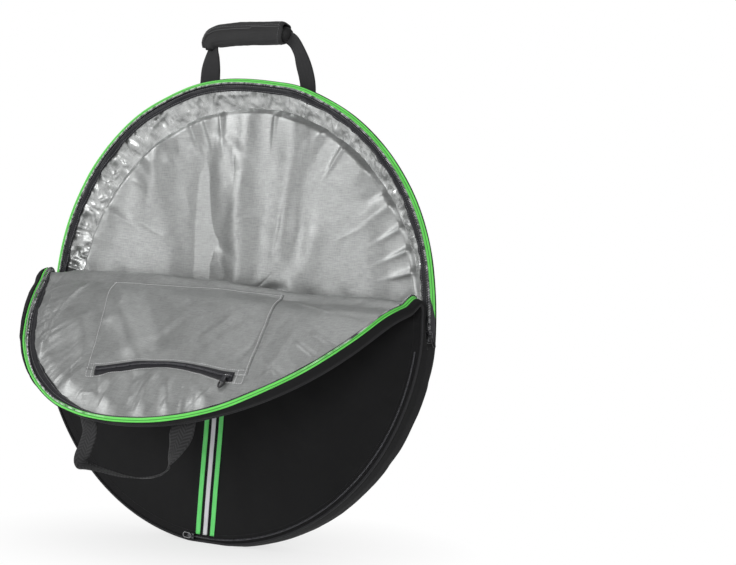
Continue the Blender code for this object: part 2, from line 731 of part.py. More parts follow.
def make_seam_zip():
    """Zip on the face of the front panel, beside the lower right of its seam."""
    depth = -FRONT_DEPTH - CLEARANCE - SMALL_COIL_RADIUS
    end = SEAM_ZIP_REST_ANGLE + SEAM_RUNOUT_ANGLE
    rim_cord("seam_zip_coil", SEAM_ZIP_RADIUS, depth, SMALL_COIL_RADIUS,
             SEAM_ZIP_START_ANGLE, end, COIL_GREY)
    turn = add_pivot("seam_slider_turn", (0.0, 0.0, RING_HEIGHT))
    turn.rotation_euler = (0.0, math.radians(SEAM_ZIP_REST_ANGLE), 0.0)
    seat = add_pivot("seam_slider_seat", (0.0, depth, SEAM_ZIP_RADIUS), turn)
    seat.rotation_euler = (math.radians(90), 0.0, 0.0)
    bridge_gap = 2 * (PULL_WIRE_RADIUS + CLEARANCE)
    plate = make_saddle_slider("seam_slider", seat, bridge_gap, BRIDGE_WIDTH, BRIDGE_WALL)
    pivot = add_pivot("seam_pull_pivot", (0.0, 0.0, plate + bridge_gap / 2), seat)
    add_object("seam_pull", pull_data("seam_pull", SMALL_PULL_LENGTH), DARK_METAL, pivot)


def make_pocket():
    """Flat pocket on the flap's lining, with its zip on the side away from the fold."""
    face = -FRONT_DEPTH + FABRIC + FOAM + LINING + 2 * CLEARANCE
    low = face + CLEARANCE
    high = low + POCKET_WALL
    foot = FOLD_HEIGHT + POCKET_RISE
    left = POCKET_SHIFT - POCKET_WIDTH / 2
    right = POCKET_SHIFT + POCKET_WIDTH / 2
    panel = box("pocket_panel", (left, low, foot), (right, high, POCKET_HEAD), SILVER_LINING)
    place_on_body(panel, FLAP)
    tape_low = POCKET_HEAD + CLEARANCE
    tape_high = tape_low + POCKET_TAPE_WIDTH
    half = POCKET_ZIP_LENGTH / 2
    tape = box("pocket_zip_tape", (POCKET_SHIFT - half, low, tape_low),
               (POCKET_SHIFT + half, high, tape_high), BLACK_TRIM)
    place_on_body(tape, FLAP)
    coil_depth = high + CLEARANCE + SMALL_COIL_RADIUS
    middle = (tape_low + tape_high) / 2
    ends = [(POCKET_SHIFT + way * (half - CLEARANCE), coil_depth, middle) for way in (-1, 1)]
    coil = add_object("pocket_zip_coil", tube_curve("pocket_zip_coil", ends, SMALL_COIL_RADIUS), COIL_GREY)
    place_on_body(coil, FLAP)
    place = Vector((POCKET_SHIFT + half - SLIDER_LENGTH, coil_depth, middle)) - FLAP.location
    seat = add_pivot("pocket_slider_seat", place, FLAP)
    seat.rotation_euler = (math.radians(-90), 0.0, 0.0)
    bend = math.hypot(SMALL_BRIDGE_WIDTH, SMALL_BRIDGE_WALL) / 2 + CLEARANCE + CORD_PULL_RADIUS
    bridge_gap = bend + CORD_PULL_RADIUS + CLEARANCE - SMALL_BRIDGE_WALL / 2
    plate = make_saddle_slider("pocket_slider", seat, bridge_gap, SMALL_BRIDGE_WIDTH, SMALL_BRIDGE_WALL)
    pivot = add_pivot("pocket_pull_pivot", (0.0, 0.0, plate + bridge_gap + SMALL_BRIDGE_WALL / 2), seat)
    pivot.rotation_euler = (math.radians(90), 0.0, math.radians(-90))
    add_object("pocket_pull", cord_pull_data("pocket_pull", bend), BLACK_TRIM, pivot)


def make_stripes():
    """Three ribbons down the middle of the front, which run on across the flap."""
    outer = -FRONT_DEPTH - CLEARANCE - STRIPE_WALL
    inner = -FRONT_DEPTH - CLEARANCE
    colours = (("left", -1, GREEN_TAPE), ("middle", 0, REFLECTIVE_GREY), ("right", 1, GREEN_TAPE))
    for name, place, finish in colours:
        low = place * STRIPE_PITCH - STRIPE_WIDTH / 2
        high = place * STRIPE_PITCH + STRIPE_WIDTH / 2
        box(f"stripe_{name}", (low, outer, RING_HEIGHT - STRIPE_REACH),
            (high, inner, FOLD_HEIGHT - STRIPE_FOLD_GAP), finish)
        upper = box(f"flap_stripe_{name}", (low, outer, FOLD_HEIGHT + STRIPE_FOLD_GAP),
                    (high, inner, RING_HEIGHT + STRIPE_REACH), finish)
        place_on_body(upper, FLAP)


def tab_places(width):
    """Left and right edge of each sewn tab, as (side, low, high)."""
    half = width / 2
    middle = HANDLE_SPAN / 2
    return (("left", -middle - half, -middle + half), ("right", middle - half, middle + half))


def make_back_handle():
    """Carrying handle: two tabs sewn to the back panel, the webbing loop and its padded grip."""
    low = BACK_DEPTH + CLEARANCE
    high = low + WEBBING
    edge = math.sqrt(BACK_PANEL_RADIUS ** 2 - (HANDLE_SPAN / 2 + WEBBING_WIDTH / 2) ** 2)
    top = RING_HEIGHT - BACK_SEAM_DROP + edge - CLEARANCE
    for side, left, right in tab_places(WEBBING_WIDTH):
        box(f"handle_tab_{side}", (left, low, top - TAB_LENGTH), (right, high, top), BLACK_WEBBING)
    axis_depth = BACK_DEPTH + PIPING_RADIUS + CLEARANCE + LOOP_THICKNESS / 2
    axis_height = top + LOOP_THICKNESS / 2 + CLEARANCE
    pivot = add_pivot("back_handle_pivot", (0.0, axis_depth, axis_height))
    outline = loop_outline(BACK_LOOP_SHARES, HANDLE_SPAN, BACK_LOOP_HEIGHT, WEBBING_WIDTH)
    loop = flat_outline("back_handle_strap", outline, LOOP_THICKNESS, BLACK_WEBBING)
    loop.parent = pivot
    room = loop_outline(BACK_LOOP_SHARES, HANDLE_SPAN, BACK_LOOP_HEIGHT, WEBBING_WIDTH, CLEARANCE)
    channel = flat_outline("cut_grip_channel", room, LOOP_THICKNESS + 2 * CLEARANCE)
    channel.parent = pivot
    channel = as_mesh(channel)
    middle = BACK_LOOP_HEIGHT
    half = Vector((GRIP_LENGTH / 2, GRIP_DEPTH / 2, GRIP_HEIGHT / 2))
    centre = Vector((GRIP_SHIFT, 0.0, middle))
    grip = box("back_handle_grip", centre - half, centre + half, BLACK_CLOTH, pivot)
    soften = grip.modifiers.new("soften", "BEVEL")
    soften.width = GRIP_EDGE
    soften.segments = 2
    boolean(grip, channel, "DIFFERENCE")


def make_front_handle():
    """Plain webbing loop that hangs from two tabs sewn near the flap's free edge."""
    low = -FRONT_DEPTH - CLEARANCE - WEBBING
    high = -FRONT_DEPTH - CLEARANCE
    top = RING_HEIGHT + FRONT_SEAM_RADIUS - FRONT_TAB_INSET
    for side, left, right in tab_places(FRONT_WEBBING_WIDTH):
        tab = box(f"flap_handle_tab_{side}", (left, low, top - TAB_LENGTH), (right, high, top), BLACK_WEBBING)
        place_on_body(tab, FLAP)
    axis_depth = low - CLEARANCE - LOOP_THICKNESS / 2
    place = Vector((0.0, axis_depth, top - LOOP_THICKNESS / 2)) - FLAP.location
    pivot = add_pivot("front_handle_pivot", place, FLAP)
    pivot.rotation_euler = (math.radians(-FLAP_OPEN_ANGLE), 0.0, 0.0)
    outline = loop_outline(FRONT_LOOP_SHARES, HANDLE_SPAN, -FRONT_LOOP_HEIGHT, FRONT_WEBBING_WIDTH)
    loop = flat_outline("front_handle_strap", outline, LOOP_THICKNESS, BLACK_WEBBING)
    loop.parent = pivot


def shade_round_pieces():
    """Smooth shading on the turned and swept meshes, with hard edges kept."""
    for item in PARTS.objects:
        if item.type == "MESH":
            item.data.shade_smooth()
            item.data.set_sharp_from_angle(angle=math.radians(SHARP_ANGLE))


make_front()
make_back()
make_gussets()
make_piping()
make_zip()
make_main_sliders()
make_seam_zip()
make_pocket()
make_stripes()
make_back_handle()
make_front_handle()
FLAP.rotation_euler = (math.radians(FLAP_OPEN_ANGLE), 0.0, 0.0)
shade_round_pieces()
bpy.context.view_layer.update()
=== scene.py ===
"""Looks of a round wheel bag that stands open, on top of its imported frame.

Metres unless a table says millimetres, +Z up, front towards -Y. The closed frame is the bag with its
flap shut; the rest frame has the flap folded open. Rim angles are in degrees, from the top towards +X.
"""
import math

import bmesh
import bpy
import numpy as np
from mathutils import Matrix, Vector


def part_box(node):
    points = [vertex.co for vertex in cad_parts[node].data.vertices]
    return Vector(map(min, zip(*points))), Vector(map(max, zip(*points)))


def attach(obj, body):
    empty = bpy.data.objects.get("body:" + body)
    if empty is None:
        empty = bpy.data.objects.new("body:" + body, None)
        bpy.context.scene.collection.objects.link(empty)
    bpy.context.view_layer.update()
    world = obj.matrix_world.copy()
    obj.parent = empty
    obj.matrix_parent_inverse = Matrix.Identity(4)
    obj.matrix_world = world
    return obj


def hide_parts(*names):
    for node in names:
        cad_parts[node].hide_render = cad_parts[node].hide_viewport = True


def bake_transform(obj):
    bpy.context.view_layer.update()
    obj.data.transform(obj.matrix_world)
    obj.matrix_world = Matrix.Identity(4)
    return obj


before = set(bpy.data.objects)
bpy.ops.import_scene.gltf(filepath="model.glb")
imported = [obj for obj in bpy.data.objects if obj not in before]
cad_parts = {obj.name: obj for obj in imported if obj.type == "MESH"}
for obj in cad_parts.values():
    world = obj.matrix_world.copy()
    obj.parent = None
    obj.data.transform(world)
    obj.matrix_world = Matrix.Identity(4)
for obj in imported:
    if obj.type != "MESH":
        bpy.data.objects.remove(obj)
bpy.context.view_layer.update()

# The bag's size, as in the frame
RING_RADIUS = 0.4
RING_HEIGHT = 0.397
FRONT_DEPTH = 0.027
BACK_DEPTH = 0.044
FRONT_SEAM = 0.3965
BACK_SEAM = 0.371
BACK_DROP = 0.012
BACK_CENTRE = RING_HEIGHT - BACK_DROP
BACK_PANEL = 0.3687
EDGE_DEPTH = 0.0103
COIL_RING, COIL_PITCH, COIL_WIRE = 0.393, 0.0027, 0.00055
ZIP_END = 94.8
TAB_MIDDLE = 0.104

# Outer radii of the round sheets, and how far a sheet tucks in beside its piping
FRONT_CLOTH_EDGE, FRONT_LINING_EDGE = 0.3958, 0.3925
BACK_CLOTH_EDGE, BACK_LINING_EDGE = 0.3702, 0.3725
SEAM_TUCK = 0.0016

# Depths of the linings' inner faces, and of the front one's level place under the pocket's slider
FRONT_LINING_DEPTH, BACK_LINING_DEPTH, SLIDER_LEVEL = 0.0206, 0.0372, 0.0127
# Least distance of the lining from the front cloth's outer face, plain and under the pocket
LINING_GAP, POCKET_GAP = 0.0034, 0.0042

# The fold
HINGE_Y = -0.0273
FOLD_HEIGHT = 0.45
FOLD_ANGLE = 82.4
FLAP_TURN = math.radians(133.5)
FOLD_REACH = 0.03
FOLD_START = (0.0, HINGE_Y, FOLD_HEIGHT - FOLD_REACH)
FOLD_END = (0.0, HINGE_Y - FOLD_REACH * math.sin(FLAP_TURN), FOLD_HEIGHT + FOLD_REACH * math.cos(FLAP_TURN))

# Walls of the sheets
CLOTH_WALL, GUSSET_WALL, FLAP_GUSSET_WALL, GRIP_WALL = 0.001, 0.002, 0.0016, 0.0022
LINING_WALL, FLAP_LINING_WALL, RIBBON_WALL = 0.0006, 0.0005, 0.0006
TAPE_WALL, POCKET_TAPE_WALL, BINDING_WALL = 0.0008, 0.0007, 0.0009
WEBBING_WALL, BACK_WEBBING_WALL = 0.0018, 0.0019

# Pitch and thickness of the rows of stitches
SEAM_STITCH, BINDING_STITCH, STRIPE_STITCH = (0.0036, 0.00034), (0.004, 0.0005), (0.0032, 0.00026)
GRIP_STITCH, TAB_STITCH, POCKET_STITCH = (0.0036, 0.00036), (0.003, 0.00038), (0.0034, 0.00048)

BOTH = "bag_body and flap"  # body of a piece that bends with the fold
FRONTWARD, BACKWARD = np.array((0.0, -1.0, 0.0)), np.array((0.0, 1.0, 0.0))


# ---- camera

def placed(name, data):
    """New object in the scene."""
    item = bpy.data.objects.new(name, data)
    bpy.context.scene.collection.objects.link(item)
    return item


def spun(a, b, angle):
    """Two axes turned in their plane, a towards b."""
    return a * math.cos(angle) + b * math.sin(angle), b * math.cos(angle) - a * math.sin(angle)


def place_camera():
    """85 mm lens at the photograph's angle, with the bag left of the middle of the picture."""
    focal, middle, aim = 1738.0, (368.0, 282.5), (231.1, 310.0)  # in pixels
    turn, rise, roll = (math.radians(angle) for angle in (35.87, 1.21, 2.67))
    target, distance = Vector((0.0, 0.006, RING_HEIGHT)), 2.986
    back = Vector((math.sin(turn) * math.cos(rise), -math.cos(turn) * math.cos(rise), math.sin(rise)))
    right = Vector((math.cos(turn), math.sin(turn), 0.0))
    right, up = spun(right, back.cross(right), roll)
    yaw = math.atan2(aim[0] - middle[0], focal)
    right, ahead = spun(right, -back, yaw)
    ahead, up = spun(ahead, up, math.atan2((aim[1] - middle[1]) * math.cos(yaw), focal))
    data = bpy.data.cameras.new("camera")
    data.sensor_width = 36.0
    data.lens = focal * data.sensor_width / (2 * middle[0])
    data.clip_end = 50.0
    camera = placed("camera", data)
    place = Matrix((right, up, -ahead)).transposed().to_4x4()
    place.translation = target + back * distance
    camera.matrix_world = place
    bpy.context.scene.camera = camera


place_camera()
bpy.context.scene.view_settings.view_transform = "Standard"


# ---- noise and shape helpers

def smooth(t):
    """Smoothstep from 0 to 1."""
    t = np.clip(t, 0.0, 1.0)
    return t * t * (3 - 2 * t)


def bell(x, middle, width):
    """Bell curve of height 1."""
    return np.exp(-((x - middle) / width) ** 2)


def hump(share):
    """Half a sine wave: zero at both ends, 1 half way."""
    return np.sin(np.pi * share)


def hashed(ix, iy, seed):
    """Repeatable number from 0 to 1 for each lattice point."""
    value = np.sin(ix * 127.1 + iy * 311.7 + seed * 74.7) * 43758.5453
    return value - np.floor(value)


def noise(x, y, seed):
    """Smooth value noise from -1 to 1."""
    x, y = np.broadcast_arrays(np.asarray(x, float), np.asarray(y, float))
    ix, iy = np.floor(x), np.floor(y)
    fx, fy = (t * t * t * (t * (t * 6 - 15) + 10) for t in (x - ix, y - iy))
    a, b = hashed(ix, iy, seed), hashed(ix + 1, iy, seed)
    c, d = hashed(ix, iy + 1, seed), hashed(ix + 1, iy + 1, seed)
    return ((a * (1 - fx) + b * fx) * (1 - fy) + (c * (1 - fx) + d * fx) * fy) * 2 - 1


def fractal(x, y, seed, octaves=3):
    """Sum of noises, each twice as fine and half as tall."""
    return sum(0.5 ** i * noise(x * 2 ** i, y * 2 ** i, seed + i) for i in range(octaves))


def ridged(x, y, seed):
    """Noise with sharp ridges, from 0 to 1."""
    return (1 - np.abs(noise(x, y, seed))) ** 3


def creases(x, y, seed, count, area, length, tall, wide, lean=None, soft=False):
    """Height of a sheet with pressed creases: ridges along random short lines."""
    rng = np.random.default_rng(seed)
    total = np.zeros_like(x)
    for _ in range(count):
        cx = rng.uniform(area[0], area[1])
        cy = rng.uniform(area[2], area[3])
        turn = rng.uniform(0, math.pi) if lean is None else rng.normal(*lean)
        half = rng.uniform(*length) / 2
        high = rng.uniform(*tall) * rng.choice((-1, 1))
        width = rng.uniform(*wide)
        along = (x - cx) * math.cos(turn) + (y - cy) * math.sin(turn)
        aside = (y - cy) * math.cos(turn) - (x - cx) * math.sin(turn)
        bend = aside - rng.uniform(-0.2, 0.2) * along * along / half
        fade = np.clip(1 - (along / half) ** 2, 0, 1)
        total += high * fade * np.exp(-(bend / width) ** 2 if soft else -np.abs(bend) / width)
    return total


def creased(x, z, table):
    """Sum of the rows of a crease table."""
    return sum(creases(x, z, *row) for row in table)


def folds(x, z, table):
    """Height of rounded folds along the lines of a table in millimetres."""
    total = np.zeros_like(x)
    for x0, z0, x1, z1, high, width in np.array(table) / 1000:
        length = math.hypot(x1 - x0, z1 - z0)
        along = ((x - x0) * (x1 - x0) + (z - z0) * (z1 - z0)) / length ** 2
        aside = ((z - z0) * (x1 - x0) - (x - x0) * (z1 - z0)) / length
        total += high * smooth(np.minimum(along, 1 - along) / 0.3 + 0.15) * np.exp(-(aside / width) ** 2)
    return total


def spline_of(*knots, unit=1.0):
    """Smooth function through (place, value) knots, flat beyond its ends; values are divided by unit."""
    xs, ys = np.array(knots, float).T
    ys = ys / unit
    slopes = np.gradient(ys, xs)

    def value(x):
        x = np.clip(np.asarray(x, float), xs[0], xs[-1])
        i = np.clip(np.searchsorted(xs, x) - 1, 0, len(xs) - 2)
        width = xs[i + 1] - xs[i]
        t = (x - xs[i]) / width
        return ((2 * t ** 3 - 3 * t ** 2 + 1) * ys[i] + (t ** 3 - 2 * t ** 2 + t) * width * slopes[i]
                + (3 * t ** 2 - 2 * t ** 3) * ys[i + 1] + (t ** 3 - t ** 2) * width * slopes[i + 1])
    return value


def smooth_path(knots, steps):
    """Points of a Catmull-Rom curve through knots."""
    knots = np.asarray(knots, float)
    ends = np.vstack([knots[:1], knots, knots[-1:]])
    path = []
    for p, q, r, s in zip(ends, ends[1:], ends[2:], ends[3:]):
        for t in np.arange(steps) / steps:
            path.append(0.5 * (2 * q + (r - p) * t + (2 * p - 5 * q + 4 * r - s) * t ** 2
                               + (3 * q - p - 3 * r + s) * t ** 3))
    return np.array(path + [knots[-1]])


def run_along(path):
    """Distance along a path at each of its points."""
    return np.concatenate([[0], np.cumsum(np.linalg.norm(np.diff(path, axis=0), axis=1))])


def points_at(place, run, path):
    """Points of a path at given distances."""
    return stacked(*(np.interp(place, run, column) for column in np.transpose(path)))


def unit(vectors):
    """Vectors of length 1."""
    return vectors / np.maximum(np.linalg.norm(vectors, axis=-1, keepdims=True), 1e-9)


def circle(sides):
    """Evenly spaced angles round a circle."""
    return np.arange(sides) * 2 * math.pi / sides


def coil_turns(turns):
    """Shares along a coil of so many turns, and its phase at each of them."""
    share = np.linspace(0, 1, turns * 8)
    return share, share * turns * 2 * math.pi


def stacked(*parts):
    """Points or UV pairs from their coordinates, which may be grids, rows or single values."""
    return np.stack(np.broadcast_arrays(*parts), -1)


def grid_of(first, second):
    """Two grids from two rows of values."""
    return np.meshgrid(first, second, indexing="ij")


# ---- the rim and the fold

def rim(radius, depth, angle, lift=0.0):
    """Points on the rim in the closed frame, kept above the floor."""
    turn = np.radians(angle)
    drop = BACK_DROP * np.clip((depth - EDGE_DEPTH) / (BACK_DEPTH - EDGE_DEPTH), 0, None)
    height = RING_HEIGHT - drop + radius * np.cos(turn)
    return stacked(radius * np.sin(turn), depth, np.maximum(height, lift))


def fold_table():
    """Height over the fold and share of the flap's turn, both growing."""
    share = np.linspace(0, 1, 401)
    t = 0.5 - np.sin(np.arcsin(1 - 2 * share) / 3)
    span = math.hypot(FOLD_END[1] - FOLD_START[1], FOLD_END[2] - FOLD_START[2])
    return (t - 0.5) * span / np.cos((share - 0.5) * FLAP_TURN), share


FOLD_TABLE = fold_table()
# How far the fold hangs down at rest in millimetres, by x: most at its right end
FOLD_SAG = spline_of((-0.42, 7), (-0.12, 7), (0, 9.5), (0.09, 16), (0.2, 24), (0.31, 26.5), (0.42, 26),
                     unit=1000)
SAG_ABOVE, SAG_BELOW = 0.06, 0.09  # how far the sag reaches on either side of the fold


def opened(points):
    """Points of the closed frame, folded open as the flap is at rest."""
    x, y, z = points[..., 0], points[..., 1] - HINGE_Y, points[..., 2] - FOLD_HEIGHT
    turn = np.interp(z, *FOLD_TABLE) * FLAP_TURN
    sag = FOLD_SAG(x) * np.exp(-(z / np.where(z > 0, SAG_ABOVE, SAG_BELOW)) ** 2)
    return stacked(x, HINGE_Y + y * np.cos(turn) - z * np.sin(turn),
                   FOLD_HEIGHT + y * np.sin(turn) + z * np.cos(turn) - sag)


# ---- mesh helpers

def mesh_object(name, points, faces, uv):
    """Smooth mesh with one UV pair in metres for each corner of its faces."""
    data = bpy.data.meshes.new(name)
    data.from_pydata(points.reshape(-1, 3).tolist(), [], faces)
    layer = data.uv_layers.new(name="metres")
    layer.data.foreach_set("uv", np.ascontiguousarray(uv, dtype=np.float32).reshape(-1))
    data.polygons.foreach_set("use_smooth", [True] * len(data.polygons))
    return placed(name, data)


def wrapped(grid, close_u, close_v):
    """Grid with its first row or column repeated where it closes."""
    edges = [(0, int(close_u)), (0, int(close_v))] + [(0, 0)] * (grid.ndim - 2)
    return np.pad(grid, edges, mode="wrap")


def quads(grid):
    """Values at the four corners of each cell."""
    cells = np.stack([grid[:-1, :-1], grid[1:, :-1], grid[1:, 1:], grid[:-1, 1:]], 2)
    return cells.reshape(-1, 4, *grid.shape[2:])


def grid_object(name, points, uv=None, close_u=False, close_v=False, flip=False):
    """Mesh from a grid of points; without uv, distances along its middle row and column do."""
    nu, nv = points.shape[:2]
    if uv is None:
        whole = wrapped(points, close_u, close_v)
        uv = stacked(*grid_of(run_along(whole[:, nv // 2]), run_along(whole[nu // 2])))
    corners = quads(wrapped(np.arange(nu * nv).reshape(nu, nv), close_u, close_v))
    corner_uv = quads(uv)
    if flip:
        corners, corner_uv = corners[:, ::-1], corner_uv[:, ::-1]
    return mesh_object(name, points, corners.tolist(), corner_uv)


def tube(name, path, radius, sides, closed=False, oval=(1.0, 1.0), up=(0, 0, 1)):
    """Round or oval cord along a path."""
    path = np.asarray(path, float)
    ahead = unit(np.roll(path, -1, 0) - np.roll(path, 1, 0) if closed else np.gradient(path, axis=0))
    side = unit(np.cross(ahead, np.asarray(up, float)))
    over = np.cross(side, ahead)
    turn = circle(sides)[None, :, None]
    ring = side[:, None] * (np.cos(turn) * oval[0]) + over[:, None] * (np.sin(turn) * oval[1])
    points = path[:, None] + ring * np.broadcast_to(radius, len(path))[:, None, None]
    item = grid_object(name, points, close_u=closed, close_v=True, flip=True)
    return item if closed else cap(item, len(path), sides)


def cap(item, count, sides):
    """Close both ends of an open tube."""
    shape = bmesh.new()
    shape.from_mesh(item.data)
    shape.verts.ensure_lookup_table()
    for start in (0, (count - 1) * sides):
        shape.faces.new(shape.verts[start:start + sides]).smooth = False
    bmesh.ops.recalc_face_normals(shape, faces=shape.faces[:])
    shape.to_mesh(item.data)
    shape.free()
    return item


def stitches(name, rows, gap, size, out, fold=False, share=0.62):
    """Rows of short raised stitches along paths, as one mesh; fold opens them with the flap."""
    sides, rise, swell, probe = 5, (0.0, 0.7, 0.7, 0.0), (0.45, 1.0, 1.0, 0.45), 0.001
    turn, out = circle(sides), np.asarray(out, float)
    index = np.arange(4 * sides).reshape(4, sides)
    verts, faces, uvs, start = [], [], [], 0
    for path in rows:
        run = run_along(path)
        count = max(int(run[-1] / gap), 1)
        step = run[-1] / count
        place = (np.arange(count) + (1 - share) / 2)[:, None] * step + np.linspace(0, 1, 4) * step * share
        points = points_at(place, run, path) + out * (np.array(rise) * size)[None, :, None]
        over = np.broadcast_to(out, points[:, 0].shape)
        if fold:
            raised = opened(points + out * probe)
            points = opened(points)
            over = (raised - points)[:, 1] / probe
        ahead = unit(points[:, -1] - points[:, 0])
        side = unit(np.cross(ahead, over))
        over = np.cross(side, ahead)
        ring = side[:, None, None] * np.cos(turn)[:, None] + over[:, None, None] * np.sin(turn)[:, None]
        points = points[:, :, None] + ring * (np.array(swell) * size)[None, :, None, None]
        verts.append(points.reshape(-1, 3))
        base = (start + np.arange(count) * 4 * sides)[:, None]
        for corners in (*quads(wrapped(index, False, True)), index[0], index[3, ::-1]):
            faces.extend((base + corners).tolist())
        uvs.append(stacked(place[:, :, None], turn * size).reshape(-1, 2))
        start += count * 4 * sides
    order = [corner for face in faces for corner in face]
    return mesh_object(name, np.vstack(verts), faces, np.vstack(uvs)[order])


def dress(item, finish, body="bag_body", replaces=(), wall=0.0, offset=-1.0):
    """Wall, material, body and stand-in of one piece."""
    if wall:
        modifier = item.modifiers.new("wall", "SOLIDIFY")
        modifier.thickness = wall
        modifier.offset = offset
        modifier.use_even_offset = False
    item.data.materials.append(finish)
    if body == BOTH:
        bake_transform(item)
    else:
        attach(item, body)
    if replaces:
        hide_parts(*replaces)


# ---- materials

WAVE_TURN = 20.0  # a band texture of scale 1 repeats every 2*pi/20 units
WEBBING_ANGLE = math.radians(38)


class Nodes:
    """Small helper that builds a node tree."""

    def __init__(self, tree):
        self.tree = tree

    def node(self, kind, inputs=None, **settings):
        """Add a node; inputs are set or linked, the rest are properties."""
        item = self.tree.nodes.new(kind)
        for key, value in settings.items():
            setattr(item, key, value)
        for key, value in (inputs or {}).items():
            self.put(item.inputs[key], value)
        return item

    def put(self, socket, value):
        """Link or set one socket."""
        if isinstance(value, bpy.types.NodeSocket):
            self.tree.links.new(value, socket)
        else:
            socket.default_value = value

    def math(self, operation, a, b=0.0, c=0.0):
        """Result of a math node."""
        return self.node("ShaderNodeMath", {0: a, 1: b, 2: c}, operation=operation).outputs[0]

    def mixed_shader(self, share, first, second):
        """Two shader nodes mixed by a share."""
        inputs = {0: share, 1: first.outputs[0], 2: second.outputs[0]}
        return self.node("ShaderNodeMixShader", inputs).outputs[0]


class Finish(Nodes):
    """A node material, on the UV map in metres or on the piece's own place."""

    def __init__(self, name, coords="uv"):
        self.material = bpy.data.materials.new(name)
        self.material.use_nodes = True
        super().__init__(self.material.node_tree)
        self.shader = self.tree.nodes["Principled BSDF"]
        if coords == "uv":
            self.where = self.node("ShaderNodeUVMap", uv_map="metres").outputs[0]
        else:
            self.where = self.node("ShaderNodeTexCoord").outputs["Object"]

    def shade(self, **values):
        """Set or link sockets of the shader by name; gives the material."""
        for key, value in values.items():
            self.put(self.shader.inputs[key.replace("_", " ")], value)
        return self.material

    def add(self, a, part_a, rest):
        """A part of one value on top of the rest."""
        return self.math("MULTIPLY_ADD", a, part_a, rest)

    def total(self, a, part_a, b, part_b):
        """Weighted sum of two values."""
        return self.add(a, part_a, self.math("MULTIPLY", b, part_b))

    def scaled(self, scale, turn=0.0):
        """Coordinates stretched and turned."""
        inputs = {"Vector": self.where, "Scale": scale, "Rotation": (0.0, 0.0, turn)}
        return self.node("ShaderNodeMapping", inputs).outputs[0]

    def cloud(self, scale, detail, rough=0.5, at=None):
        """Cloudy noise from 0 to 1."""
        inputs = {"Vector": at or self.where, "Scale": scale, "Detail": detail, "Roughness": rough}
        return self.node("ShaderNodeTexNoise", inputs).outputs["Fac"]

    def bands(self, repeat, direction, at=None):
        """Soft bands that repeat every so many metres."""
        inputs = {"Vector": at or self.where, "Scale": 2 * math.pi / (WAVE_TURN * repeat), "Detail": 1.0}
        return self.node("ShaderNodeTexWave", inputs, bands_direction=direction).outputs["Fac"]

    def ramp(self, value, low, high):
        """Colour between two by a value; each is a colour or a socket."""
        item = self.node("ShaderNodeMix", {"Factor": value}, data_type="RGBA")
        for index, colour in ((6, low), (7, high)):
            self.put(item.inputs[index], (*colour, 1.0) if isinstance(colour, tuple) else colour)
        return item.outputs[2]

    def ranged(self, value, start=0.0, end=1.0, low=0.0, high=1.0, kind="LINEAR"):
        """Map a value from start..end to low..high."""
        inputs = {"Value": value, "From Min": start, "From Max": end, "To Min": low, "To Max": high}
        return self.node("ShaderNodeMapRange", inputs, interpolation_type=kind).outputs[0]

    def bump(self, height, distance, strength, normal=None):
        """Normal bent by a height, on top of another normal where given."""
        inputs = {"Height": height, "Distance": distance, "Strength": strength}
        if normal is not None:
            inputs["Normal"] = normal
        return self.node("ShaderNodeBump", inputs).outputs[0]


def cloth_finish(name, low, high, thread, roughness=0.78):
    """Woven fabric with threads both ways."""
    f = Finish(name)
    weave = f.math("MAXIMUM", f.bands(thread, "X"), f.bands(thread, "Y"))
    mixed = f.total(weave, 0.45, f.cloud(900.0, 2.0), 0.35)
    creased_normal = f.bump(f.cloud(140.0, 3.0), 0.0003, 0.5)
    return f.shade(Base_Color=f.ramp(f.add(f.cloud(18.0, 4.0), 0.35, mixed), low, high), Roughness=roughness,
                   Sheen_Weight=0.03, Sheen_Roughness=0.5, Specular_IOR_Level=0.2,
                   Normal=f.bump(mixed, 0.00012, 0.8, creased_normal))


def lining_finish(name, light, gloss=0.43, crush=1.0, painted_foil_light=0.0):
    """Coated silver lining: a fine weave with long streaks under a satin metal coat. Its brightness factor scales
    the colour as painted light and shade, and an optional share of dark and bright blotches adds painted
    highlights and shade like crinkled foil.
    """
    f = Finish(name)
    streak = f.cloud(1.0, 3.0, 0.62, f.scaled((60.0, 640.0, 1.0)))
    cross = f.cloud(1.0, 2.0, at=f.scaled((560.0, 90.0, 1.0)))
    weave = f.total(streak, 0.7, cross, 0.3)
    thread = f.math("MAXIMUM", f.bands(0.0012, "Y"), f.bands(0.0012, "X"))
    crinkle = f.cloud(38.0, 3.0)
    shade = f.total(weave, 0.85, crinkle, 0.15)
    if painted_foil_light:
        # Painted highlights and shade: dark and bright blotches about a centimetre wide, like the glints of
        # crinkled foil.
        shade = f.math("ADD", shade, f.ranged(f.cloud(34.0, 3.0), 0.38, 0.6, -painted_foil_light, painted_foil_light))
        wander = f.node("ShaderNodeTexNoise", {"Vector": f.where, "Scale": 26.0, "Detail": 2.0}).outputs["Color"]
        bent = f.node("ShaderNodeMix", {0: 0.03, 4: f.where, 5: wander}, data_type="VECTOR").outputs[1]
        crinkle = f.node("ShaderNodeTexVoronoi", {"Vector": bent, "Scale": 62.0}).outputs["Distance"]
    # The brightness factor is painted light and shade: it makes lit and shaded copies of one lining.
    dark, pale = (tuple(v * light for v in colour) for colour in ((0.09, 0.093, 0.092), (0.5, 0.51, 0.505)))
    first = f.bump(crinkle, 0.001 * crush, 0.5)
    second = f.bump(weave, 0.0004, 0.6, first)
    return f.shade(Base_Color=f.ramp(shade, dark, pale), Metallic=0.66,
                   Roughness=f.ranged(crinkle, low=gloss - 0.05, high=gloss + 0.08), Specular_IOR_Level=0.5,
                   Normal=f.bump(thread, 0.0001, 0.5, second))


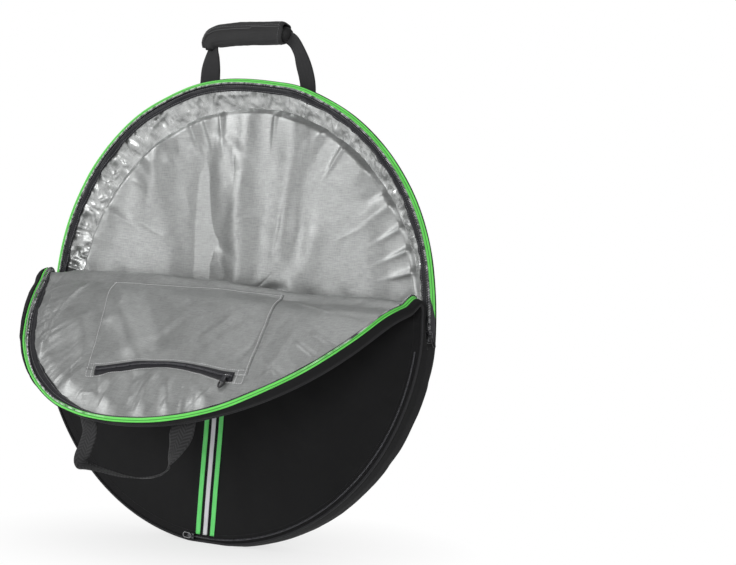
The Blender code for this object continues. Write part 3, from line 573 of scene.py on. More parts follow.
def ribbon_finish(name, dark, light, rib, roughness=0.6):
    """Ribbon with ribs along it; UV's second axis runs across."""
    f = Finish(name)
    ribs, threads = f.bands(rib, "Y"), f.bands(0.0007, "X")
    mixed = f.total(ribs, 0.45, threads, 0.15)
    return f.shade(Base_Color=f.ramp(f.add(f.cloud(60.0, 4.0), 0.5, mixed), dark, light), Roughness=roughness,
                   Sheen_Weight=0.1, Normal=f.bump(threads, 0.0001, 0.6, f.bump(ribs, 0.0003, 0.7)))


def tape_finish(name, width, ends):
    """Zip tape: green with a dark line along its middle, dark beside the coil and past its ends."""
    f = Finish(name)
    dark, light, inner = (0.06, 0.52, 0.045), (0.23, 0.95, 0.17), (0.02, 0.018, 0.024)
    along, across, _ = f.node("ShaderNodeSeparateXYZ", {0: f.where}).outputs
    limit = f.ranged(f.math("ABSOLUTE", along), *ends, width, -0.0006)
    wear = f.cloud(1.0, 3.0, at=f.scaled((25.0, 500.0, 1.0)))
    mixed = f.total(f.bands(0.0011, "Y"), 0.25, f.bands(0.0008, "X"), 0.15)
    off_line = f.math("ABSOLUTE", f.math("SUBTRACT", across, width * 0.52))
    groove = f.ranged(off_line, 0.0002, 0.0008, kind="SMOOTHSTEP")
    lined = f.ramp(groove, tuple(v * 0.45 for v in dark), f.ramp(f.add(wear, 0.6, mixed), dark, light))
    side = f.ranged(f.math("SUBTRACT", across, limit), -0.0003, 0.0003, kind="SMOOTHSTEP")
    return f.shade(Base_Color=f.ramp(side, lined, inner), Roughness=0.6, Sheen_Weight=0.1,
                   Normal=f.bump(mixed, 0.00015, 0.6, f.bump(groove, 0.0005, 0.8)))


def webbing_finish(name, low, high, rib):
    """Heavy webbing: herringbone of diagonal ribs."""
    f = Finish(name)
    lean, back = (f.bands(rib, "X", f.scaled((1.0, 1.0, 1.0), turn)) for turn in (WEBBING_ANGLE, -WEBBING_ANGLE))
    rows = f.math("GREATER_THAN", f.bands(rib * 4.5, "Y"), 0.5)
    weave = f.node("ShaderNodeMix", {"Factor": rows, 2: lean, 3: back}, data_type="FLOAT").outputs[0]
    mixed = f.total(weave, 0.6, f.cloud(700.0, 2.0), 0.3)
    return f.shade(Base_Color=f.ramp(f.add(f.cloud(35.0, 3.0), 0.25, mixed), low, high), Roughness=0.74,
                   Sheen_Weight=0.06, Specular_IOR_Level=0.35, Normal=f.bump(mixed, 0.0005, 0.9))


def plain_finish(name, low, high, roughness, metallic=0.0, scale=300.0, coords="uv"):
    """Moulded, cast or spun surface with fine grain and slight wear."""
    f = Finish(name, coords)
    grain, wear = f.cloud(scale, 4.0), f.cloud(scale / 8, 3.0)
    return f.shade(Base_Color=f.ramp(wear, low, high), Metallic=metallic,
                   Roughness=f.ranged(wear, low=roughness - 0.06, high=roughness + 0.08),
                   Normal=f.bump(grain, 0.00008, 0.5))


def painted_glint_finish(name, low, high):
    """Grey zip teeth with painted glints: their colour comes and goes from dark to near white along the coil."""
    f = Finish(name)
    grain = f.cloud(900.0, 2.0)
    # Painted glints: a noise along the coil turns the colour from dark grey to near white.
    return f.shade(Base_Color=f.ramp(f.ranged(f.cloud(34.0, 3.0), 0.4, 0.58), low, high), Metallic=0.25,
                   Roughness=f.ranged(grain, low=0.22, high=0.34), Normal=f.bump(grain, 0.00005, 0.4))


BLACK_CLOTH = cloth_finish("black_cloth", (0.003, 0.003, 0.0033), (0.01, 0.01, 0.0107), 0.0009)
GRIP_CLOTH = cloth_finish("grip_cloth", (0.013, 0.013, 0.0135), (0.046, 0.046, 0.047), 0.0006)
# A lighter copy of the grip cloth: a painted highlight along the edge of the grip's overlap.
GRIP_HIGHLIGHT_EDGE = cloth_finish("grip_highlight_edge", (0.03, 0.03, 0.031), (0.11, 0.11, 0.112), 0.0006)
# One silver lining in three copies. The second number is painted light and shade; it is brightest on the gusset,
# whose sheets lie in shade. The gusset's last number adds painted highlights and shade like crinkled foil.
FLAP_LINING = lining_finish("flap_lining", 1.22)
BACK_LINING = lining_finish("back_lining", 1.14, 0.36, 1.3)
GUSSET_LINING = lining_finish("gusset_lining", 1.6, 0.25, 3.2, 0.13)
BODY_TAPE = tape_finish("green_tape_body", 0.0074, (0.588, 0.625))
FLAP_TAPE = tape_finish("green_tape_flap", 0.0072, (0.592, 0.618))
STRIPE_GREEN = ribbon_finish("stripe_green", (0.07, 0.72, 0.12), (0.24, 0.97, 0.27), 0.0012)
STRIPE_GREY = ribbon_finish("stripe_grey", (0.66, 0.66, 0.69), (0.88, 0.88, 0.92), 0.0012, 0.4)
BINDING = cloth_finish("binding", (0.007, 0.007, 0.009), (0.024, 0.024, 0.028), 0.0007, 0.42)
PIPING_SKIN = cloth_finish("piping_skin", (0.008, 0.008, 0.009), (0.024, 0.024, 0.026), 0.0005, 0.55)
COIL = plain_finish("coil", (0.05, 0.05, 0.055), (0.2, 0.2, 0.22), 0.28)
# The coil's near-white spots are painted glints.
SILVER_COIL = painted_glint_finish("silver_coil", (0.1, 0.1, 0.11), (0.9, 0.9, 0.92))
WEBBING = webbing_finish("webbing", (0.0045, 0.0045, 0.0048), (0.03, 0.03, 0.032), 0.0021)
FRONT_WEBBING = webbing_finish("front_webbing", (0.0035, 0.0035, 0.0037), (0.038, 0.038, 0.04), 0.005)
METAL = plain_finish("dark_metal", (0.045, 0.045, 0.05), (0.16, 0.16, 0.17), 0.28, 0.9, coords="place")
# A copy of the dark metal painted lighter: a painted glint on the seam zip's pull and the pocket slider's bridge.
GLINT_PAINTED_METAL = plain_finish("glint_painted_metal", (0.16, 0.16, 0.165), (0.55, 0.55, 0.56), 0.22, 0.9, coords="place")
CORD = plain_finish("pull_cord", (0.012, 0.012, 0.013), (0.04, 0.04, 0.042), 0.6, scale=900.0, coords="place")
THREAD = plain_finish("thread", (0.012, 0.012, 0.013), (0.035, 0.035, 0.037), 0.7)
GREY_THREAD = plain_finish("grey_thread", (0.1, 0.1, 0.105), (0.26, 0.26, 0.27), 0.5)
PALE_THREAD = plain_finish("pale_thread", (0.62, 0.62, 0.63), (0.85, 0.85, 0.86), 0.55)
GREEN_THREAD = plain_finish("green_thread", (0.05, 0.55, 0.08), (0.2, 0.9, 0.2), 0.55)
DARK_FOAM = plain_finish("dark_foam", (0.004, 0.004, 0.0045), (0.012, 0.012, 0.0125), 0.85)


# ---- tables of creases, folds and lips

# Creases: seed, count, area in x and z, lengths, heights, widths, lean and its spread, rounded or sharp
FLAP_CREASES = (
    (11, 18, (-0.38, 0.38, 0.45, 0.78), (0.08, 0.24), (0.0008, 0.0022), (0.006, 0.014), None, True),
    (12, 12, (-0.36, 0.36, 0.46, 0.78), (0.05, 0.12), (0.0005, 0.0011), (0.002, 0.004)),
    (14, 26, (-0.3, 0.14, 0.69, 0.78), (0.03, 0.08), (0.0006, 0.0015), (0.0016, 0.003), (math.radians(96), 0.5)),
)
POCKET_CREASES = (
    (23, 12, (-0.14, 0.18, 0.48, 0.69), (0.05, 0.16), (0.0006, 0.0018), (0.006, 0.014), None, True),
)
BACK_CLOTH_CREASES = (
    (111, 16, (-0.3, 0.3, 0.08, 0.7), (0.12, 0.34), (0.001, 0.0024), (0.012, 0.026), None, True),
)
BACK_LINING_CREASES = (
    (17, 16, (-0.34, 0.34, 0.05, 0.74), (0.08, 0.24), (0.001, 0.0026), (0.006, 0.014), None, True),
    (19, 12, (-0.32, 0.32, 0.4, 0.72), (0.04, 0.11), (0.0006, 0.0014), (0.002, 0.004)),
)
BACK_LINING_FALLS = (
    (18, 12, (-0.3, 0.3, 0.4, 0.72), (0.2, 0.45), (0.004, 0.0085), (0.016, 0.032), (math.radians(84), 0.13), True),
)
# Folds in millimetres (x0, z0, x1, z1, height, half width).
# On the flap's lining: a valley over the pocket, a fan under its zip, thin wrinkles
FLAP_FOLDS = (
    (-215, 485, -15, 680, 8.5, 24), (-150, 480, 10, 640, -4, 22), (-225, 560, -130, 690, 4, 16),
    (0, 520, 40, 660, 3, 30), (120, 490, 150, 650, -2.5, 28), (-30, 690, 0, 780, -3, 12),
    (200, 640, 270, 690, 2, 6), (-262, 480, -276, 610, 3.2, 5), (-277, 585, -248, 690, 3.4, 5.5),
    (-310, 540, -235, 740, 2.6, 6), (-335, 500, -300, 610, 2, 9), (-120, 690, -168, 772, 5, 19),
    (-64, 690, -34, 795, 6, 17), (6, 680, 34, 800, 6.6, 15), (40, 690, 90, 790, 4, 10),
    (98, 680, 160, 770, 3.4, 14), (172, 478, 262, 522, 2, 3.8), (250, 574, 325, 607, 2.4, 4),
    (232, 596, 300, 634, 2.2, 4),
)
# On the back: they run down from the back handle's sewn ends
BACK_FOLDS = (
    (-104, 690, -150, 470, 2.2, 16), (-90, 690, -40, 500, 1.8, 14),
    (104, 690, 160, 450, 2.2, 17), (90, 690, 30, 520, 1.6, 13),
)
# Where the flap's lip hangs away from its circle at rest, in millimetres by angle: in the flap's plane
# and across it
LIP_IN_PLANE = spline_of(
    (-95, 0), (-88, -4), (-83, -8), (-79, -10.5), (-72, -13), (-64, -12.5), (-57, -10.5), (-50, -7.2),
    (-37, -2.8), (-28, 0.4), (-20, 3.6), (-12, 3.8), (-5, 2.6), (5, 1), (20, 0.6), (30, -0.5), (41, -3),
    (50, -4.5), (60, -6.2), (68, -6.6), (74, -7.2), (79, -10.5), (84, -12.5), (89, -8), (95, 0), unit=1000)
LIP_ACROSS = spline_of(
    (-95, 0), (-88, -3), (-83, -7), (-79, -6.8), (-72, -6), (-64, -6), (-57, -6), (-50, -6), (-37, -5.5),
    (-28, -5), (-20, -5), (-12, -4), (0, -4), (20, -4), (26, -2.5), (33, 0), (56, 0), (64, -0.5), (71, -1),
    (76, -2.5), (80, -6), (84, -11), (88, -11), (92, -4), (95, 0), unit=1000)
# How far the body's lip stands out of its circle, in millimetres by angle
BODY_LIP = spline_of(
    (-95, 0), (-86, 1.6), (-74, 3.8), (-56, 5.8), (-44, 6.2), (-34, 5.6), (-24, 2), (-14, 0.8), (-6, -2),
    (2, -4.8), (9, -5), (16, -1.8), (26, -1.2), (34, 0.6), (50, 1.8), (62, 1.6), (74, -0.8), (82, -2.6),
    (91, -1.6), (95, 0), unit=1000)
# Lean of each zip tape in degrees by angle: 0 lies in the flap's plane, 90 stands on it
TAPE_LEAN = spline_of((-95, 26), (-88, 0), (-84, -22), (-76, -32), (-66, -26), (-58, -18), (-45, 2), (-25, 24),
                      (0, 36), (45, 44), (70, 42), (84, 34), (95, 26))
BODY_LEAN = spline_of((-95, 26), (-84, 8), (-60, 4), (-40, 14), (-10, 24), (60, 24), (95, 26))
# How much further the tape leans past its flat part
TAPE_BEND = spline_of((-95, 62), (-48, 62), (-34, 112), (68, 112), (78, 62), (95, 62))
BODY_BEND = 62.0
# Distances across a tape from its lip: its flat part, its coil and its far edge
TAPE_FLAT, COIL_RUN, TAPE_WIDTH = 0.0084, 0.0108, 0.0112
# How wide the body's binding is, and how far a binding stands off its tape
BINDING_REACH, BINDING_GAP = 0.0125, 0.0006
# Lean in radians and width in millimetres of the flap zip's binding, by angle
BINDING_LEAN = spline_of((-84, 1.2), (-80, 0.85), (-76, 0.52), (-68, 0.42), (-58, 0.42), (-48, 0.45),
                         (-38, 0.45), (-28, 0.4), (-18, 0.6), (-6, 1.3), (84, 1.3))
BINDING_WIDTH = spline_of((-84, 15), (-30, 15), (-12, 11), (0, 7), (84, 7), unit=1000)


# ---- surfaces of the bag

def polar(x, z, centre=RING_HEIGHT):
    """Radius and rim angle of points on a disc."""
    return np.hypot(x, z - centre), np.degrees(np.arctan2(x, z - centre))


def front_face(x, z):
    """Depth of the front cloth's outer face in the closed frame."""
    radius, angle = polar(x, z)
    body = smooth((0.388 - radius) / 0.11)
    soft = 0.0022 * fractal(x / 0.16, z / 0.16, 3) + 0.0008 * fractal(x / 0.05, z / 0.05, 8)
    pucker = 0.0007 * noise(angle / 2.2, radius / 0.03, 5) * smooth((radius - 0.345) / 0.035)
    pucker = pucker * smooth((0.392 - radius) / 0.006)
    middle = smooth((0.04 - np.abs(x)) / 0.02)
    lump = 0.0045 * body * (1 - 0.5 * middle)
    return -FRONT_DEPTH - (lump + soft * body * (1 - 0.75 * middle) + pucker)


def lining_relief(x, z):
    """Height of the front lining over its plane, in the closed frame."""
    radius, angle = polar(x, z)
    on_flap = smooth((z - 0.46) / 0.06)
    rough = 0.00022 * fractal(x / 0.03, z / 0.03, 21, 2)
    soft = 0.0035 * fractal(x / 0.15, z / 0.15, 31, 2)
    fan = (angle + 18) / 6.5 + 0.5 * noise(radius / 0.06, 0.0, 44)
    spread = 0.3 + 0.7 * smooth((45 - angle) / 45) * smooth((angle + 84) / 12)
    fine = 0.0016 * ridged(angle / 3.4, radius / 0.2, 43)
    fine = fine + 0.0012 * ridged(angle / 1.9 + radius * 8, radius / 0.1, 47)
    rays = 0.006 * (0.5 + 0.5 * noise(fan, radius / 0.3, 41)) + fine
    rays = rays * smooth((radius - 0.24) / 0.13) * spread
    inside_pocket = np.minimum(np.minimum(x + 0.15, 0.192 - x), np.minimum(z - 0.47, 0.7 - z))
    calm = 1 - 0.45 * smooth(inside_pocket / 0.015)
    return (0.0015 + 0.006 * on_flap * smooth((0.375 - radius) / 0.1)
            + (creased(x, z, FLAP_CREASES) + rough + soft) * calm
            + rays * (0.35 + 0.65 * on_flap) + folds(x, z, FLAP_FOLDS)) * smooth((0.3945 - radius) / 0.042)


def front_lining_depth(x, z):
    """Depth of the front lining's inner face in the closed frame, level where the pocket's slider rests."""
    crest = 0.0016 * bell(z, FOLD_HEIGHT, 0.025)
    depth = -FRONT_LINING_DEPTH - crest + np.maximum(lining_relief(x, z), -0.0012)
    rest = smooth((0.036 - np.abs(z - 0.685)) / 0.028) * smooth((x - 0.08) / 0.045) * smooth((0.2 - x) / 0.03)
    return depth - rest * np.maximum(depth + SLIDER_LEVEL, 0)


def pocket_floor(x, z):
    """Depth of the lining under the pocket, clear of the front cloth."""
    return np.maximum(front_lining_depth(x, z), front_face(x, z) + POCKET_GAP)


def back_swell(radius):
    """Swell of the back panel towards its hub, as in the frame."""
    share = np.clip(radius / BACK_PANEL, 0, 1)
    return np.interp(share, [0, 0.2, 0.4, 0.6, 0.8, 1.0], [0.0098, 0.0094, 0.008, 0.0045, 0.0008, 0.0])


def rim_angles(start, end, step):
    """Angles along the rim, finer near the fold's two ends."""
    places, here = [start], start
    while here < end - 1e-6:
        near = min(abs(here - FOLD_ANGLE), abs(here + FOLD_ANGLE)) < 7
        here = min(here + (step / 2.5 if near else step), end)
        places.append(here)
    return np.array(places)


def front_rim(radius, depth, angle, share=1.0):
    """Rim point on the flap's side, moved with the lip by share and opened."""
    wander = 0.0009 * noise(angle / 9.0, 0.0, 71)
    radius = radius + (LIP_IN_PLANE(angle) + wander) * share ** 2
    return opened(rim(radius, depth + LIP_ACROSS(angle) * share, angle))


# Spacing of a disc's rings, of those near its edge, that edge's width, and the step in degrees
CLOTH_GRID = (0.0055, 0.0026, 0.04, 0.75)
LINING_GRID = (0.0036, 0.002, 0.07, 0.5)


def disc_grid(outer, centre, spacing):
    """Angles and radii of a disc, and its points' x and z."""
    coarse, fine, edge, step = spacing
    angles = np.arange(0, 360, step)
    radii = np.concatenate([np.linspace(0.0015, outer - edge, int((outer - edge) / coarse)),
                            np.linspace(outer - edge, outer, int(edge / fine))[1:]])
    turn = np.radians(angles)[:, None]
    return angles, radii, radii * np.sin(turn), centre + radii * np.cos(turn)


def disc_object(name, points, x, z, flip):
    """Disc sheet with a filled middle and a flat UV map in metres."""
    item = grid_object(name, points, wrapped(stacked(x, z), True, False), close_u=True, flip=flip)
    shape = bmesh.new()
    shape.from_mesh(item.data)
    shape.verts.ensure_lookup_table()
    layer = shape.loops.layers.uv[0]
    ring = [shape.verts[i * points.shape[1]] for i in range(points.shape[0])]
    middle = shape.verts.new(points[:, 0].mean(0))
    for a, b in zip(ring, ring[1:] + ring[:1]):
        face = shape.faces.new((middle, b, a) if flip else (middle, a, b))
        face.smooth = True
        for loop in face.loops:
            loop[layer].uv = (loop.vert.co.x, loop.vert.co.z)
    shape.normal_update()
    shape.to_mesh(item.data)
    shape.free()
    return item


def resampled(count, *knots):
    """Section through (radius, depth) knots with evenly spaced points."""
    run = run_along(knots)
    return points_at(np.linspace(0, run[-1], count), run, knots)


def strip(name, start, end, step, section, shape, flip=False):
    """Band along the rim; shape turns radius, depth, angle and share across into points."""
    angles, run = rim_angles(start, end, step), run_along(section)
    points = shape(section[None, :, 0], section[None, :, 1], angles[:, None], (run / run[-1])[None, :])
    return grid_object(name, points, stacked(*grid_of(np.radians(angles) * RING_RADIUS, run)), flip=flip)


def gusset_relief(angle, share, seed, tall=0.0012):
    """Ripples of a gusset, zero at both seams."""
    ripple = noise(angle / 5.0, share * 1.5, seed) + 0.5 * noise(angle / 2.2, share * 2, seed + 1)
    return (tall * ripple + 0.001) * hump(np.clip(share, 0, 1))


# ---- front, back and gussets

def make_front_cloth():
    """Front cloth from the floor over the fold to the flap's seam."""
    _, radii, x, z = disc_grid(FRONT_CLOTH_EDGE, RING_HEIGHT, CLOTH_GRID)
    depth = front_face(x, z) + SEAM_TUCK * smooth((radii - 0.3925) / 0.0033)
    points = stacked(x, depth, np.maximum(z, 0.0006))
    dress(disc_object("front_cloth", opened(points), x, z, flip=False), BLACK_CLOTH, BOTH,
          ("front_panel", "flap_panel", "front_padding", "flap_padding"), CLOTH_WALL)


def make_front_lining():
    """Crinkled silver sheet inside the front."""
    angles, radii, x, z = disc_grid(FRONT_LINING_EDGE, RING_HEIGHT, LINING_GRID)
    turn = (angles[:, None] + 180) % 360 - 180
    pull = smooth((radii - 0.3) / 0.0925) * (np.abs(turn) < 95)
    depth = front_lining_depth(x, z) + 0.7 * LIP_ACROSS(turn) * pull
    depth = np.maximum(depth, front_face(x, z) + LINING_GAP)
    drawn = 1 + LIP_IN_PLANE(turn) * pull / radii
    points = stacked(x * drawn, depth, np.maximum(RING_HEIGHT + (z - RING_HEIGHT) * drawn, 0.0036))
    dress(disc_object("front_lining_sheet", opened(points), x, z, flip=True), FLAP_LINING, BOTH,
          ("front_lining", "flap_lining"), LINING_WALL)


def make_front_gusset():
    """The flap's half of the gusset, down to both ends of the zip."""
    def outside(radius, depth, angle, share):
        left = (0.0035 * bell(angle, -72, 9) + 0.004 * bell(angle, -80, 2.2)) * hump(share)
        sag = 0.003 * bell(angle, 55, 30) * hump(share)
        return front_rim(radius + gusset_relief(angle, share, 61) + left + sag, depth, angle, share)

    def inside(radius, depth, angle, share):
        pleat = -0.005 * ridged(angle / 3.2, share * 0.8, 66) * hump(np.clip(share * 1.1, 0, 1))
        return front_rim(radius + pleat, depth, angle)
    section = resampled(9, (FRONT_SEAM, -FRONT_DEPTH + SEAM_TUCK), (RING_RADIUS, -EDGE_DEPTH))
    dress(strip("front_gusset_cloth", -ZIP_END, ZIP_END, 0.8, section, outside, flip=True), BLACK_CLOTH,
          BOTH, ("flap_gusset", "gusset_end_right", "gusset_end_left"), FLAP_GUSSET_WALL)
    section = resampled(12, (0.3918, -0.0195), (0.3938, -0.017), (0.3958, -0.013), (0.395, -0.0085),
                        (0.3926, -0.0078))
    dress(strip("front_gusset_lining_sheet", -84, 79, 0.5, section, inside), GUSSET_LINING,
          BOTH, ("flap_gusset_lining",), FLAP_LINING_WALL)


def make_body_gussets():
    """Gusset round the lower half and the one behind the zip, with their linings."""
    front_edge, back_edge = (RING_RADIUS, -EDGE_DEPTH), (RING_RADIUS, EDGE_DEPTH)
    back_hem = (BACK_SEAM + 0.002, BACK_DEPTH - 0.003)

    def lower_outside(radius, depth, angle, share):
        ground = smooth((60 - np.abs(angle - 180)) / 40)
        return rim(radius + gusset_relief(angle, share, 81) * (1 - 0.8 * ground), depth, angle, 0.0022)

    def lower_inside(radius, depth, angle, share):
        pleat = -0.0035 * ridged(angle / 4.0, share * 2, 86) * hump(share)
        return rim(radius - 0.0032 + pleat, depth, angle, 0.0032)

    def upper_outside(radius, depth, angle, share):
        radius = radius + gusset_relief(angle, share, 91, 0.0016) + BODY_LIP(angle) * (1 - share)
        return rim(radius, depth, angle, 0.0004)

    def upper_inside(radius, depth, angle, share):
        lean = share * 1.6 + 0.8 * noise(angle / 9.0, 0.0, 98)
        pleat = 0.0062 * ridged(angle / 3.6 + lean, share * 1.4, 96) + 0.0026 * noise(angle / 1.3, share * 4, 97)
        pleat = pleat + 0.0036 * ridged(angle / 1.7 - lean, share * 2.2, 99)
        radius = radius + BODY_LIP(angle) * (1 - share)
        return rim(radius - 0.55 * pleat * hump(share), depth - 0.6 * pleat * hump(share), angle, 0.0032)

    below, above = (ZIP_END, 360 - ZIP_END), (-ZIP_END, ZIP_END)
    for half, span, steps, outer, inner, outside, inside in (
            ("lower", below, (1.0, 0.8),
             resampled(26, (FRONT_SEAM, -FRONT_DEPTH + SEAM_TUCK), front_edge, back_edge, back_hem),
             resampled(22, (0.3945, -0.0195), front_edge, back_edge, (0.3765, 0.0368)),
             lower_outside, lower_inside),
            ("upper", above, (0.9, 0.4), resampled(16, back_edge, back_hem),
             resampled(24, (0.3922, 0.0082), (0.3925, 0.0115), (0.387, 0.019), (0.376, 0.028), (0.36, 0.0362),
                       (0.354, 0.0374)), upper_outside, upper_inside)):
        dress(strip(f"gusset_{half}_cloth", *span, steps[0], outer, outside, flip=True), BLACK_CLOTH,
              replaces=(f"gusset_{half}",), wall=GUSSET_WALL)
        dress(strip(f"gusset_{half}_lining_sheet", *span, steps[1], inner, inside), GUSSET_LINING,
              replaces=(f"gusset_{half}_lining",), wall=LINING_WALL)


def make_back():
    """Bulged back cloth and the silver sheet inside it."""
    _, radii, x, z = disc_grid(BACK_CLOTH_EDGE, BACK_CENTRE, CLOTH_GRID)
    _, angle = polar(x, z, BACK_CENTRE)
    body = smooth((0.365 - radii) / 0.09)
    soft = 0.0016 * fractal(x / 0.17, z / 0.17, 103) + 0.0006 * fractal(x / 0.05, z / 0.05, 108)
    pucker = 0.0006 * noise(angle / 2.4, radii / 0.03, 105) * smooth((radii - 0.325) / 0.03)
    drape = creased(x, z, BACK_CLOTH_CREASES) + folds(x, z, BACK_FOLDS)
    depth = BACK_DEPTH + back_swell(radii) + (np.minimum(soft, 0.0015) + drape) * body + pucker
    depth = depth - SEAM_TUCK * smooth((radii - 0.367) / 0.0032)
    dress(disc_object("back_cloth", stacked(x, depth, z), x, z, flip=True), BLACK_CLOTH,
          replaces=("back_panel", "back_padding"), wall=CLOTH_WALL)

    _, radii, x, z = disc_grid(BACK_LINING_EDGE, BACK_CENTRE + 0.002, LINING_GRID)
    _, angle = polar(x, z, BACK_CENTRE)
    waves = 0.0105 * (noise((x + 0.15 * (z - 0.5)) / 0.06, z / 0.45, 119) * 0.5 + 0.5)
    falls = creased(x, z, BACK_LINING_FALLS) + waves
    rough = 0.00025 * fractal(x / 0.03, z / 0.03, 121, 2)
    rays = 0.0065 * ridged(angle / 6.0, radii / 0.25, 131) * smooth((radii - 0.27) / 0.09)
    relief = 0.0015 + creased(x, z, BACK_LINING_CREASES) + falls + rough + rays
    relief = np.maximum(relief * smooth((0.364 - radii) / 0.016), -0.0003)
    depth = BACK_LINING_DEPTH + back_swell(radii) * 0.96 - relief
    dress(disc_object("back_lining_sheet", stacked(x, depth, z), x, z, flip=False), BACK_LINING,
          replaces=("back_lining",), wall=LINING_WALL)


def make_piping():
    """Cords in the two seams, and the rows of stitches beside them."""
    cord, front_row, back_row = 0.0023, 0.3812, 0.3645
    path = rim(FRONT_SEAM, -FRONT_DEPTH, rim_angles(-180, 180, 1.2)[:-1], 0.0024)
    dress(tube("front_piping", opened(path), cord, 10, closed=True, up=(0, 1, 0.3)), PIPING_SKIN,
          BOTH, ("piping_front", "piping_flap"))
    path = rim(BACK_SEAM, BACK_DEPTH, np.arange(0, 360, 1.2))
    dress(tube("back_piping", path, cord, 10, closed=True, up=(0, 1, 0)), PIPING_SKIN,
          replaces=("piping_back",))
    angles = np.arange(-180, 180.1, 0.5)
    turn = np.radians(angles)
    x, z = front_row * np.sin(turn), RING_HEIGHT + front_row * np.cos(turn)
    row = stacked(x, front_face(x, z) - 0.0003, z)
    dress(stitches("front_seam_stitches", [row], *SEAM_STITCH, FRONTWARD, fold=True), THREAD, BOTH)
    row = rim(back_row, BACK_DEPTH + 0.0009, angles)
    dress(stitches("back_seam_stitches", [row], *SEAM_STITCH, BACKWARD), THREAD)


# ---- main zip

def tape_line(angle, run, side):
    """Radius and depth on a zip tape, run metres in from its lip."""
    lean = np.radians(TAPE_LEAN(angle) if side < 0 else BODY_LEAN(angle))
    bent = lean + np.radians(TAPE_BEND(angle) if side < 0 else BODY_BEND)
    first, rest = np.minimum(run, TAPE_FLAT), np.maximum(run - TAPE_FLAT, 0.0)
    radius = RING_RADIUS - first * np.cos(lean) - rest * np.cos(bent)
    return radius, -side * (-EDGE_DEPTH + first * np.sin(lean) + rest * np.sin(bent))


def body_rim(radius, depth, angle):
    """Rim point on the body's side, moved with its lip."""
    return rim(radius + BODY_LIP(angle), depth, angle)


def make_zip_half(side, owner, nodes, tape, place, loop, waves, lean, width, span):
    """Tape, coil and binding of one half of the main zip; side is 1 on the body and -1 on the flap."""
    body, flip = ("bag_body", False) if side > 0 else (BOTH, True)

    def ribbon(run, _, angle, share):
        radius, depth = tape_line(angle, run, side)
        wander = 0.0004 * noise(angle / 6.0, share * 2, 141)
        crown = 0.0006 * hump(np.clip(share * 1.45, 0, 1))
        return place(radius + wander + crown, depth, angle)

    def fall(_, __, angle, share):
        wave = waves[0] * noise(angle / 3.4, share * 1.5, 151 + side) * share
        wave = wave + waves[1] * noise(angle / 1.3, share * 2, 153 + side) * share - 0.0018 * hump(share) ** 2
        tilt, reach = lean(angle), width(angle) * share
        radius, depth = tape_line(angle, TAPE_FLAT + 0 * angle, side)
        return place(radius - BINDING_GAP - reach * np.cos(tilt) + 0.3 * wave,
                     depth + side * (BINDING_GAP + reach * np.sin(tilt) + wave), angle)

    across = np.linspace(0, TAPE_WIDTH, 15)
    dress(strip(f"zip_tape_{owner}_ribbon", -ZIP_END, ZIP_END, 0.5, stacked(across, 0), ribbon, flip),
          tape, body, [f"zip_tape_{node}" for node in nodes], TAPE_WALL)

    t, phase = coil_turns(int(math.radians(2 * ZIP_END) * COIL_RING / COIL_PITCH))
    angle = -ZIP_END + 2 * ZIP_END * t
    radius, depth = tape_line(angle, COIL_RUN + 0 * t, side)
    path = place(radius + 0.0006 + loop * np.sin(phase), depth - loop * side * np.cos(phase), angle)
    dress(tube(f"zip_coil_{owner}_teeth", path, COIL_WIRE, 6, up=(0.1, 1, 0.2)), SILVER_COIL, body,
          [f"zip_coil_{node}" for node in nodes])

    across = np.linspace(0, BINDING_REACH, 11)
    dress(strip(f"zip_binding_{owner}_cloth", -span, span, 0.5, stacked(across, 0), fall, flip),
          BINDING, body, (f"zip_binding_{nodes[0]}",), BINDING_WALL, 0.0)
    out = FRONTWARD if side > 0 else np.array((0.0, -math.sin(FLAP_TURN), -math.cos(FLAP_TURN)))
    places = np.arange(-span + 1, span - 1, 0.25)
    rows = [fall(None, None, places, np.full_like(places, share)) + out * 0.0007 for share in (0.25, 0.82)]
    dress(stitches(f"zip_binding_{owner}_stitches", rows, *BINDING_STITCH, out, share=0.7), GREY_THREAD,
          body)


def make_zip():
    """Both halves of the main zip."""
    make_zip_half(1, "body", ("body",), BODY_TAPE, body_rim, 0.0014, (0.0034, 0.0016),
                  lambda angle: 0.12 + 0 * angle, lambda angle: BINDING_REACH, ZIP_END)
    make_zip_half(-1, "front", ("flap", "end_right", "end_left"), FLAP_TAPE, front_rim, 0.0009,
                  (0.0018, 0.0009), BINDING_LEAN, BINDING_WIDTH, 83.5)


def make_stripes():
    """Three ribbons down the front and over the fold."""
    pitch, half = 0.015, 0.00475
    z = np.arange(0.0135, 0.7805, 0.003)
    across = np.linspace(-half, half, 7)
    lean = 0.0022 - 0.0122 * smooth((0.26 - z) / 0.34) - 0.0022 * smooth((z - 0.3) / 0.2)
    crown = 0.0003 * (1 - (across / half) ** 2)
    for name, place, narrow, finish, thread, slot in (
            ("left", -1, 0.94, STRIPE_GREEN, GREEN_THREAD, "green_tape"),
            ("middle", 0, 0.88, STRIPE_GREY, PALE_THREAD, "reflective_ribbon"),
            ("right", 1, 0.94, STRIPE_GREEN, GREEN_THREAD, "green_tape")):
        x = place * pitch + across * narrow + lean[:, None]
        zz = z[:, None]
        points = stacked(x, front_face(x, zz) - 0.0005 - crown, zz)
        dress(grid_object(f"stripe_cloth_{name}", opened(points), stacked(zz, x)), finish, BOTH,
              (f"stripe_{name}", f"flap_stripe_{name}"), RIBBON_WALL)
        rows = [points[:, i] + FRONTWARD * 0.0001 for i in (1, -2)]
        dress(stitches(f"stripe_{name}_stitches", rows, *STRIPE_STITCH, FRONTWARD, fold=True), thread, BOTH)


# ---- handles

